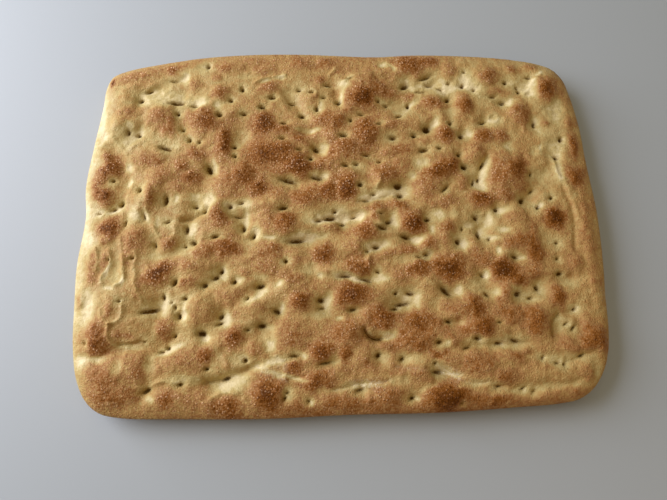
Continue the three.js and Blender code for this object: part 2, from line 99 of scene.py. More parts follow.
# Broad risings and sinkings of the dough, by their rise.
BILLOWS: Rows = (
    (-175, 78, 16, 15, 2.3, -30), (-140, 97, 26, 20, 1.5), (-172, 100, 16, 24, 1.3),
    (-147, 22, 16, 28, 2.8, -20), (-137, 18, 10, 14, -1.2), (-108, 95, 15, 14, 1.1),
    (-85, 92, 26, 11, 1.6), (-95, 62, 16, 36, 1.3, 10), (-112, 80, 26, 30, 0.6),
    (-95, 12, 20, 16, 1.7), (-100, 108, 20, 24, 0.8), (-80, 40, 20, 30, 0.8),
    (-155, 60, 40, 20, 0.4), (-130, 50, 30, 30, 0.3), (-160, 103, 8, 16, -1.0),
    (-158, 76, 10, 14, -1.0), (-168, 42, 12, 34, -2.3, 15), (-170, 17, 14, 12, -2.0),
    (-178, 58, 10, 18, -1.0, 15), (-123, 80, 8, 32, -1.8, 30), (-125, 112, 10, 14, -1.0),
    (-147, 113, 30, 9, -0.9, 20), (-102, 44, 16, 8, -2.0, 110), (-108, 32, 16, 30, -1.7, -10),
    (-112, 13, 14, 12, -1.6), (-80, 68, 22, 20, -1.9), (-78, 5, 16, 11, -2.2),
    (-150, 4, 9, 14, -1.0), (-35, 125, 16, 20, 0.8), (17, 108, 26, 20, 1.9, -30),
    (5, 92, 28, 14, 1.5, 20), (28, 72, 26, 15, 2.4), (8, 62, 26, 16, 1.4, 30),
    (-5, 72, 14, 20, 0.9), (55, 127, 28, 9, 1.6), (25, 122, 22, 8, 1.0, 10),
    (-33, 44, 20, 12, 1.9, 10), (0, 50, 14, 10, 0.9), (-55, 12, 20, 13, 2.2),
    (-25, 12, 20, 14, 1.5), (10, 27, 20, 24, 1.1), (33, 33, 16, 16, 0.8), (50, 5, 30, 10, 0.9),
    (-58, 78, 30, 13, 0.6, -50), (-35, 98, 11, 26, -2.7, 35), (-47, 88, 30, 12, -1.4, -30),
    (-27, 74, 12, 11, -2.6), (-18, 58, 11, 13, -2.7), (-25, 55, 12, 14, -1.8, 45),
    (-35, 30, 28, 11, -2.6), (-16, 35, 8, 10, -1.4), (-1, 107, 8, 26, -1.8, 15),
    (48, 98, 24, 18, -1.9), (57, 110, 10, 16, -1.4), (20, 35, 10, 18, -1.1),
    (27, 50, 18, 14, -1.1, -30), (48, 25, 15, 17, -3.0), (28, 14, 28, 8, -1.4, 5),
    (62, 68, 16, 8, -1.3), (3, 1, 32, 9, -2.0), (35, 0, 7, 11, -1.6), (117, 117, 22, 28, 1.7),
    (165, 105, 22, 28, 2.2, -15), (175, 120, 24, 16, 1.4, -30), (144, 87, 14, 20, 1.3),
    (101, 94, 16, 16, 1.3), (83, 80, 10, 34, 0.8, 25), (115, 62, 28, 13, 0.8, -20),
    (77, 38, 28, 34, 1.5), (107, 50, 10, 16, 0.9), (130, 38, 22, 32, 1.6, 20),
    (125, 20, 20, 20, 0.8), (176, 35, 16, 30, 0.6), (160, 65, 14, 14, 0.6), (70, 112, 26, 12, -1.5),
    (79, 118, 12, 8, -1.9, -20), (90, 102, 11, 13, -2.4, 30), (73, 75, 13, 11, -2.5),
    (100, 70, 10, 15, -2.3, 20), (118, 82, 11, 11, -1.6), (155, 111, 18, 16, -1.3, 45),
    (133, 97, 12, 8, -1.0), (156, 75, 12, 30, -0.7), (95, 52, 9, 11, -1.7),
    (101, 42, 7, 18, -1.7, 40), (113, 44, 6, 20, -1.9, -25), (109, 30, 13, 12, -2.6),
    (84, 25, 12, 8, -0.8, 40), (146, 14, 15, 15, -3.0, 20), (155, 30, 18, 22, -1.3),
    (120, 7, 9, 9, -1.4), (65, 0, 10, 11, -1.5), (168, 47, 12, 12, -0.8), (-168, -62, 32, 38, 3.0),
    (-175, -84, 24, 16, 1.6), (-187, -106, 20, 22, 1.3), (-160, -108, 34, 24, 2.0),
    (-155, -6, 16, 22, 0.9), (-176, -14, 20, 22, 0.9), (-155, -35, 14, 30, 0.8),
    (-110, -35, 24, 22, 1.5), (-108, -65, 24, 22, 1.4), (-75, -80, 22, 11, 1.2),
    (-120, -108, 36, 26, 1.3), (-95, -10, 24, 24, 0.9), (-65, -65, 14, 16, 0.8),
    (-140, -42, 16, 13, 0.8), (-55, -129, 28, 18, 1.2), (-137, -64, 11, 22, -2.9, 20),
    (-122, -72, 9, 11, -2.0), (-103, -84, 13, 10, -2.4), (-130, -90, 22, 12, -2.0, 20),
    (-118, -17, 18, 11, -2.1, 40), (-118, 0, 10, 15, -1.8), (-92, -40, 14, 12, -2.1, 50),
    (-103, -50, 13, 8, -1.9, 20), (-82, -45, 11, 8, -1.2), (-91, -70, 10, 13, -1.6),
    (-66, -51, 22, 8, -2.0, 20), (-95, -118, 28, 11, -3.0, 10), (-72, -110, 26, 6, -1.5, 22),
    (-160, -94, 42, 6, -1.4, 8), (-142, -122, 13, 8, -1.9, 35), (-75, -3, 9, 15, -2.0, -15),
    (-68, -12, 9, 8, -1.3), (-140, -15, 8, 12, -1.1), (-45, -8, 32, 19, 2.8),
    (-6, -41, 32, 10, 2.2, -10), (20, -62, 28, 12, 2.4, -5), (7, -58, 20, 8, 1.3, 15),
    (-34, -62, 20, 17, 2.0, -30), (-45, -52, 18, 10, 1.4), (25, -5, 16, 18, 2.0),
    (55, -1, 17, 12, 1.3), (10, -18, 22, 15, 1.1, 30), (5, -85, 28, 10, 2.1, -10),
    (0, -96, 36, 14, 1.1), (-45, -100, 20, 8, 1.4, -20), (-24, -103, 17, 8, 1.2),
    (59, -50, 26, 10, 1.7, -30), (52, -112, 20, 14, 1.2, -20), (58, -90, 18, 11, 0.9),
    (-20, -118, 42, 12, 0.7), (-40, -30, 20, 14, 0.6), (2, -5, 17, 14, -2.0),
    (-28, -18, 24, 9, -2.1, 20), (52, -18, 15, 10, -2.7), (27, -22, 16, 10, -1.6, 30),
    (38, -1, 8, 13, -1.6, -20), (20, -47, 14, 9, -2.2, -30), (43, -65, 25, 18, -3.1, 5),
    (-15, -64, 10, 16, -2.4, 10), (-8, -73, 12, 7, -1.1, -30), (7, -70, 15, 8, -1.6, 20),
    (-50, -70, 11, 9, -1.8, -40), (-62, -82, 18, 11, -2.3, 10), (27, -91, 26, 7, -2.2),
    (22, -105, 9, 9, -1.2), (40, -107, 8, 7, -0.9), (-15, -108, 12, 6, -1.2, 20),
    (12, -127, 13, 11, -1.6), (45, -132, 12, 11, -1.6), (65, -32, 14, 7, -1.4, 30),
    (5, -30, 12, 7, -1.0), (-22, -42, 10, 12, -1.0, 20), (120, -32, 15, 12, 1.4),
    (135, -22, 32, 32, 1.1), (122, -57, 17, 14, 1.6), (150, -45, 22, 10, 0.9, -10),
    (140, -82, 16, 24, 1.6, -15), (105, -87, 32, 12, 2.2, -22), (90, -75, 14, 22, 0.9, 20),
    (78, -17, 15, 14, 1.1), (75, -95, 15, 10, 0.9), (100, -115, 32, 22, 0.9),
    (70, -135, 24, 12, 2.0), (165, -102, 18, 8, 0.9), (184, -100, 12, 18, 1.3),
    (130, -45, 20, 14, 0.5), (107, -10, 15, 22, -3.0), (95, -8, 14, 8, -1.0, 10),
    (88, -20, 9, 9, -1.9), (103, -48, 10, 42, -1.9, 22), (78, -59, 14, 8, -2.5, -35),
    (80, -80, 12, 9, -2.0), (70, -70, 18, 8, -1.2), (105, -98, 54, 6, -1.9, 2),
    (153, -87, 8, 18, -1.6, -10), (162, -77, 18, 7, -2.1, -15), (171, -87, 7, 16, -1.7, 10),
    (168, -49, 18, 8, -2.1), (133, -64, 17, 12, -1.7), (146, -56, 10, 12, -1.7, 20),
    (130, -35, 9, 9, -1.2), (70, -117, 20, 8, -1.9, -10), (128, -127, 42, 8, -1.0),
    (158, -112, 16, 6, -1.2), (130, -105, 18, 6, -0.7),
)

# Blisters, by how far their crowns have browned.
BLISTERS: dict[Tone, Rows] = {
    Tone.UMBER: (
        (18, 103, 16, 15), (-60, 83, 14, 15), (3, 25, 15, 16), (-34, 46, 18, 13), (53, -4, 17, 16),
        (163, -3, 12, 13), (-175, -3, 14, 15, -10), (-136, -38, 20, 9, 35), (117, -42, 20, 14),
        (4, -57, 20, 14), (78, -40, 20, 17), (-57, -126, 19, 18), (69, -133, 28, 16),
        (-184, 121, 3, 5),
    ),
    Tone.RUSSET: (
        (-135, 132, 10, 8), (60, 134, 22, 14), (75, 136, 13, 9), (-107, 83, 16, 14),
        (169, 107, 20, 17), (101, 96, 13, 14), (20, 73, 14, 24), (-92, 66, 9, 24),
        (116, 67, 15, 11), (-45, 77, 8, 6), (-56, 57, 34, 16), (186, 58, 7, 20), (-183, 42, 12, 11),
        (-177, 48, 13, 15), (-181, 22, 11, 12), (-176.5, -83, 12, 22), (-117, 37, 11, 10),
        (-66, 27, 14, 12), (-77, 38, 15, 16), (-12, 25, 12, 16), (78, 38, 26, 14, 18),
        (85, 42, 11, 10), (139, 38, 13, 15), (185, 31, 13, 15), (109, 14, 19, 12), (-94, 4, 13, 14),
        (-44, 0, 13, 15), (16, -9, 16, 14), (144, -26, 10, 30), (-89, -20, 17, 13),
        (-16, -27, 14, 12), (10, -37, 18, 12), (55, -38, 20, 12), (-34, -62, 14, 12),
        (94, -69, 11, 14), (157, -62, 10, 15), (128, -51, 15, 8), (26, -76, 13, 13),
        (51, -78, 16, 12), (-82, -87, 15, 12), (178, -95, 17, 20), (136, -79, 13, 20),
        (99, -84, 17, 10), (-19, -98, 15, 13), (-102, -100, 12, 13), (63, -102, 14, 7),
        (-38, -109, 11, 8), (-24, -118, 18, 13), (-86, -134, 20, 12), (-128, -127, 12, 11),
        (85, 70, 10, 15), (-3, -101, 9, 8),
    ),
    Tone.CHESTNUT: (
        (22, 108, 36, 28), (33, 114, 14, 12), (-109, 86, 26, 19), (129, 66, 9, 9),
        (130, 36, 31, 27), (-139, -40, 28, 16, 30), (-95, 109, 15, 13), (-10, 137, 13, 7),
        (123, 121, 16, 14), (-99, 124, 8, 6), (-92, 132, 9, 7), (-56, 114, 12, 11),
        (78, 98, 17, 11), (-8, 83, 23, 14), (149, 84, 12, 14), (-30, 68, 12, 6), (-181, 55, 9, 12),
        (-115, 56, 13, 11), (-180, -84, 20, 25), (3, 60, 13, 11), (-125, 47, 11, 7),
        (34, 39, 22, 15, 15), (-28, 20, 20, 16), (-88, 30, 16, 18), (96, 29, 8, 13),
        (27, 7, 13, 11), (-158, -13, 17, 17), (-157, -25, 6, 9), (-131, -16, 13, 11),
        (-159, -26, 11, 10), (-103, -22, 16, 11, 20), (25, 0, 8, 9), (64, -22, 13, 11, 20),
        (79, -10, 13, 16), (-117, -46, 11, 8), (127, 16, 12, 9), (-53, -21, 9, 7),
        (103, -34, 13, 11), (118, -76, 19, 14), (-170, -64, 7, 12), (-147, -110, 10, 10),
        (93, -109, 21, 15), (48, -26, 16, 8), (113, -119, 14, 11), (-35, -135, 21, 10),
        (-5, -134, 28, 11), (25, -132, 22, 14), (-170, -116, 20, 22), (-188, 32, 10, 15),
        (-188, 24, 8, 10), (-148, 49, 18, 11), (-15, 118, 7, 7), (130, -22, 18, 11),
        (140, -46, 18, 8), (117, -62, 9, 14), (-2, -84, 16, 10), (45, -93, 24, 14),
        (102, -135, 32, 9), (-131, -80, 11, 14, 30), (22, -71, 14, 10), (43, 11, 14, 8),
    ),
    Tone.AMBER: (
        (-160, 127, 40, 8, 14), (-60, 129, 18, 7), (160, 128, 11, 7), (143, 127, 10, 8),
        (-65, 95, 13, 7, -40), (57, 103, 12, 6), (130, 107, 13, 6), (45, 78, 15, 8),
        (65, 65, 11, 8), (167, 77, 7, 6), (186, 77, 7, 9), (37, 55, 12, 10), (107, 57, 9, 8),
        (103, 47, 10, 9), (-28, 134, 19, 9), (-118, 116, 18, 12), (-139, 39, 21, 16),
        (-137, 76, 13, 10), (-167, 92, 18, 11), (-144, 87, 18, 17), (-186, -26, 6, 14),
        (-178, -29, 7, 13), (5, 37, 10, 10), (48, 42, 16, 15), (145, 90, 13, 14), (65, 25, 18, 17),
        (-146, 20, 6, 18), (-128, 28, 11, 8), (-48, 18, 12, 11), (-57, -1, 15, 16),
        (-178, -13, 10, 7), (8, -23, 14, 12), (-8, -6, 15, 8), (-57, -24, 19, 11),
        (-60, -35, 21, 11), (-74, -40, 6, 7), (28, -29, 15, 8), (-113, -33, 13, 9),
        (-187, -36, 9, 19), (-176, -28, 7, 14), (174, -38, 12, 11), (-194, -58, 6, 13),
        (-86, -58, 14, 17), (78, -71, 19, 14), (-106, -66, 17, 22), (15, -74, 8, 12),
        (8, -80, 13, 8), (-164, -82, 8, 8), (-157, -84, 9, 5), (-151, -103, 17, 21),
        (12, -104, 14, 11), (27, -95, 11, 7), (-119, -102, 25, 13, 10), (-66, -95, 10, 11),
        (-86, -103, 7, 7), (170, -118, 9, 12), (-170, -119, 28, 28), (-156, -125, 20, 12),
        (-124, -129, 33, 18), (-98, -133, 11, 11), (-103, -124, 12, 8), (165, -132, 18, 8),
        (-134, 86, 7, 24), (-117, 73, 20, 8), (50, 57, 22, 9), (93, 128, 10, 16),
        (-42, -86, 28, 21), (187, -15, 10, 58), (98, -27, 12, 17), (41, -44, 16, 9),
        (158, -99, 14, 11), (120, -106, 26, 9), (46, -116, 20, 8), (137, -136, 28, 8),
        (-38, -45, 21, 9), (-8, 70, 15, 9), (-112, 63, 20, 8), (75, 13, 26, 11),
    ),
    Tone.GOLD: (
        (-85, 135, 18, 9), (-70, 140, 18, 7), (-152, 117, 10, 6), (-165, 118, 10, 6),
        (103, 132, 12, 8), (-23, 105, 8, 6), (-168, 84, 20, 12), (-158, 19, 16, 12),
        (-12, 45, 24, 12), (-183, 28, 10, 8), (155, 43, 18, 14), (-147, 54, 21, 14),
        (28, 28, 14, 7), (-65, 14, 15, 12), (155, 15, 11, 9), (133, -4, 15, 21), (-106, -11, 8, 9),
        (-37, -24, 14, 9), (187, -60, 9, 24), (0, -91, 15, 11), (-74, -32, 12, 10),
        (-46, -42, 10, 8), (61, -56, 14, 12), (-56, -61, 11, 13), (-70, -68, 20, 16),
        (-152, -77, 20, 15), (-96, -92, 14, 13), (72, -107, 18, 8), (-9, -112, 18, 9),
        (146, -118, 36, 11), (-155, 9, 11, 14), (85, 2, 9, 15),
    ),
}

# Pale dough between the blisters, where the fingers pressed it down.
HOLLOWS: dict[Tone, Rows] = {
    Tone.CREAM: (
        (-112, 100, 12, 8), (-124, 124, 7, 13), (-60, 120.5, 10, 3, 20), (-48, 123, 9, 3.4, 5),
        (4, 115, 9, 7, -30), (39, 133.5, 9, 5, -15), (46, 128.5, 3.4, 9, 30), (77, 79, 8, 9),
        (103, 71, 7, 9), (104, 117, 8, 12), (87, 116, 5, 8), (3, 104, 4, 15),
        (166, 120.5, 5, 3, 20), (168.5, 122.5, 3, 4), (159, 113, 8, 9, 45), (70, 114, 16, 3.4, 10),
        (94, 111, 13, 6), (60, 111, 6, 5), (139, 97, 4, 8), (108, 26, 10, 9), (160, 56, 3, 9),
        (155, 107, 11, 18, 30), (30, -88, 11, 6), (5, -46, 30, 4.4, -6), (-10, 0.5, 42, 8, 3),
        (-30, -14, 28, 6, 8), (25, -20.5, 17, 7, 10), (30, 19, 34, 6, 9), (-98, 98, 8, 10),
        (-164, 46, 6, 9, 10), (-163, 33, 5, 7, -15), (-157, 76, 6, 8), (-165, 81.5, 5, 7),
        (-99, 45, 4, 10), (-128, 20, 4, 9), (-22, 76, 10, 5), (-14, 60, 7, 12), (-14, 96, 5, 9),
        (58, 97, 20, 5, 45), (-130, 64, 8, 5, -30), (-189, 95, 7, 50), (-187, 72, 8, 12),
        (-148, 6, 4, 10, 5), (-158, 8, 8, 9), (-172, 12, 14, 3, 25), (-184, 10, 4, 3),
        (-101, 18, 10, 14), (-113, 21, 9, 8), (-75, 15, 9, 8), (-74, 3, 5, 18), (-65, -9, 9, 10),
        (-55, -13, 11, 4), (-13, 36, 5, 5, 30), (-191, -12, 9, 16), (-175, -37, 3, 12, -20),
        (-163, -43, 4, 6), (-172, -48, 8, 3, -20), (-114, -5, 5, 9), (-140, 1, 4, 8),
        (63, 45, 11, 10), (55, 35, 7, 7), (12, 1, 8, 9, -40), (39, -2, 7, 13), (73, 2, 8, 9),
        (57, -17, 11, 6), (67, -11, 6, 8), (113, 38, 7, 24, -14), (172, 34, 6, 18), (125, 5, 13, 6),
        (112, -3, 7, 12), (122, -12, 8, 5), (107, -12, 6, 9), (115, -18, 8, 4), (116, -28, 4, 6),
        (154, 7, 5, 5), (134, -33, 5, 4), (90, -22, 5, 9), (97, -7, 7, 6), (66, -28, 6, 6),
        (62, -32, 8, 3), (27, -46, 11, 6), (105, -46, 6, 9), (-89, -39, 6, 10), (-79, -45, 7, 6),
        (-18, -43, 7, 6), (-49, -48, 7, 5), (-65, -57, 16, 6, 45), (-48, -66, 4, 7),
        (-14, -62, 6, 12), (-87, -73, 7, 10), (-132, -62, 6, 14), (-117, -69, 5, 14),
        (-188, -62, 11, 23), (-102, -86, 8, 4, 20), (-124, -93, 18, 4, 22), (-187, -100, 11, 8),
        (-176, -99, 12, 5), (111, -60, 6, 7), (83, -57, 7, 7), (53, -64, 5, 12), (72, -95, 5, 5),
        (-56, -94, 7, 8), (-52, -105, 16, 7), (-63, -108, 12, 5), (-31, -102, 4, 4),
        (-84, -118, 23, 13, 20), (-139, -127, 5, 6), (-26, -132, 4, 4), (-6, -75, 5, 3),
        (47, -133, 4, 3), (77, -117, 9, 4, -30), (-45, -115, 30, 3, -12),
    ),
    Tone.STRAW: (
        (-140, 108, 42, 14), (-110, 132, 12, 8), (-75, 125, 14, 8), (-38, 110, 20, 18),
        (-28, 97, 14, 9), (55, 116, 12, 10), (76, 115, 20, 9), (85, 108, 12, 8), (45, 97, 16, 10),
        (50, 90, 16, 8), (90, 90, 10, 9), (108, 108, 8, 8), (135, 97, 14, 10), (124, 79, 12, 8),
        (157, 78, 11, 13), (176, 88, 14, 22), (36, 66, 13, 12), (-80, 71, 15, 18), (-30, 76, 10, 5),
        (-168, 72, 20, 13), (170, 55, 12, 18), (155, 54, 10, 10), (-157, 7, 13, 13),
        (-186, 9, 9, 7), (-168, -34, 7, 20, -5), (-166, 66, 10, 10), (-48, 33, 22, 11, -10),
        (-20, 37, 16, 6), (14, 41, 12, 10), (30, 22, 38, 12, 8), (101, 34, 13, 20), (107, 25, 9, 7),
        (157, 31, 24, 17), (-85, 10, 11, 14), (-12, 5, 46, 14), (146, 4, 11, 15), (163, 14, 6, 8),
        (-123, -23, 22, 9), (-140, -25, 12, 8), (-72, -15, 17, 7), (-32, -15, 30, 10),
        (23, -21, 22, 9), (87, -20, 12, 11), (155, -20, 18, 18), (46, -33, 15, 8), (50, 22, 8, 12),
        (-27, -38, 16, 11), (3, -46, 30, 5, -5), (-62, -43, 12, 6), (-20, -72, 24, 6),
        (97, -54, 14, 12), (42, -63, 26, 15), (43, -64, 16, 9), (145, -58, 8, 11),
        (126, 82, 13, 11), (134, 57, 9, 9), (131, -64, 20, 9), (167, -54, 13, 9), (167, -74, 10, 8),
        (65, -68, 9, 14), (-57, -80, 10, 6), (-57, -88, 13, 10), (-155, -92, 20, 5),
        (-140, -103, 7, 14), (-162, -107, 7, 9), (21, -88, 15, 9), (154, -81, 7, 14),
        (93, -95, 22, 8), (115, -96, 36, 9), (-80, -103, 32, 8), (45, -105, 19, 9),
        (152, -108, 42, 7), (-110, -115, 36, 7), (66, -114, 20, 6, -12), (36, -120, 15, 8),
        (4, -123, 46, 4, 5), (90, -125, 26, 5), (135, -128, 74, 5, 3), (178, -115, 8, 16),
        (-43, -127, 8, 8), (110, 112, 10, 10), (176, 96, 10, 10), (-124, 73, 14, 12),
        (-134, 66, 18, 9), (28, -90, 5, 7), (26, -104, 7, 9), (-11, -105, 7, 6),
        (54, -125, 13, 5, 25), (12, -127, 4, 10), (83, -80, 5, 4), (84, 2, 8, 10), (-18, -13, 9, 6),
    ),
}

# Wide places whose skin has browned more or less than the rest, by the shift of its tone.
ZONES: Rows = (
    # The first row, the long pale strip along the left edge, is partly painted light on the side
    # that faces the window.
    (-196, 0, 26, 320, -0.3), (-150, 85, 90, 70, -0.16), (-150, 0, 70, 60, -0.12),
    (-150, -60, 80, 60, -0.06), (-60, 55, 110, 60, 0.1), (20, 85, 60, 60, 0.05),
    (95, 112, 60, 30, -0.12), (60, -100, 260, 60, 0.06), (188, 0, 24, 240, 0.05),
    (-20, 138, 230, 18, 0.12), (20, -142, 340, 14, 0.16), (120, -5, 50, 50, -0.08),
    (145, 124, 70, 28, -0.12), (176, 82, 26, 60, -0.1), (30, -84, 90, 40, 0.12),
    (162, -40, 20, 30, 0.08), (-110, 118, 60, 40, -0.1), (112, 112, 60, 50, -0.09),
    (165, 65, 30, 60, -0.1), (70, 0, 60, 50, -0.08), (-90, -110, 110, 50, -0.07),
    (-20, 55, 130, 60, 0.08), (190, -60, 24, 150, -0.06),
)

# Places where crowns and skin alike have browned more or less, by the shift of their tone.
SCORCHES: Rows = (
    (-96, 118, 18, 18, -0.1), (25, 118, 30, 20, -0.12), (-52, 90, 18, 16, -0.1),
    (-104, 90, 16, 14, -0.06), (-110, 70, 12, 20, -0.06), (-148, 100, 20, 14, -0.08),
    (-80, 50, 14, 14, -0.08), (-90, 32, 14, 14, -0.06), (-103, 13, 22, 18, -0.1),
    (-160, -15, 24, 20, -0.09), (-150, -40, 16, 14, -0.08), (-106, -62, 22, 28, -0.1),
    (-137, -78, 16, 14, -0.1), (-180, -74, 24, 20, -0.08), (150, -45, 12, 22, -0.1),
    (190, 50, 16, 40, -0.08), (192, -20, 12, 30, -0.1), (192, -68, 14, 30, -0.06),
    (168, 112, 20, 18, -0.07), (172, -85, 18, 22, -0.08), (146, -95, 12, 20, -0.06),
    (112, -110, 18, 14, -0.06), (-100, -85, 26, 20, -0.06), (-30, 124, 18, 10, -0.05),
    (155, 95, 16, 16, -0.05), (130, 60, 24, 22, -0.05), (50, 5, 16, 14, -0.04),
    (8, 0, 14, 14, -0.04), (-65, 0, 18, 14, -0.04), (60, 105, 24, 34, 0.11),
    (-30, 105, 46, 16, 0.09, -25), (32, 70, 26, 18, 0.1), (-10, 53, 22, 26, 0.11),
    (-50, 38, 22, 26, 0.12), (-82, 78, 16, 24, 0.08), (-132, 68, 22, 28, 0.09),
    (-140, 12, 18, 28, 0.12), (-120, -5, 14, 12, 0.08), (18, 25, 30, 12, 0.08, 15),
    (-30, 8, 34, 12, 0.07, 10), (130, 0, 28, 24, 0.11), (158, -20, 16, 20, 0.07, 35),
    (-40, -30, 26, 18, 0.08, -20), (-18, -50, 16, 18, 0.08), (32, -56, 20, 12, 0.07),
    (60, -58, 24, 14, 0.05), (124, -52, 20, 20, 0.07), (72, -88, 22, 20, 0.08),
    (-72, -66, 26, 14, 0.06), (-85, -100, 18, 10, 0.06, 20), (-75, -15, 14, 10, 0.05),
    (70, 48, 24, 16, 0.06, 35), (155, 55, 26, 16, 0.05, 40), (94, 35, 14, 20, 0.06),
    (-190, 75, 10, 24, 0.06), (-188, 18, 12, 22, 0.05), (95, 62, 12, 12, 0.06),
    (-148, -22, 14, 12, 0.05), (85, 10, 24, 24, 0.04), (70, -75, 50, 30, 0.04),
    (-70, -134, 36, 12, -0.05), (-160, -130, 30, 16, 0.06),
)

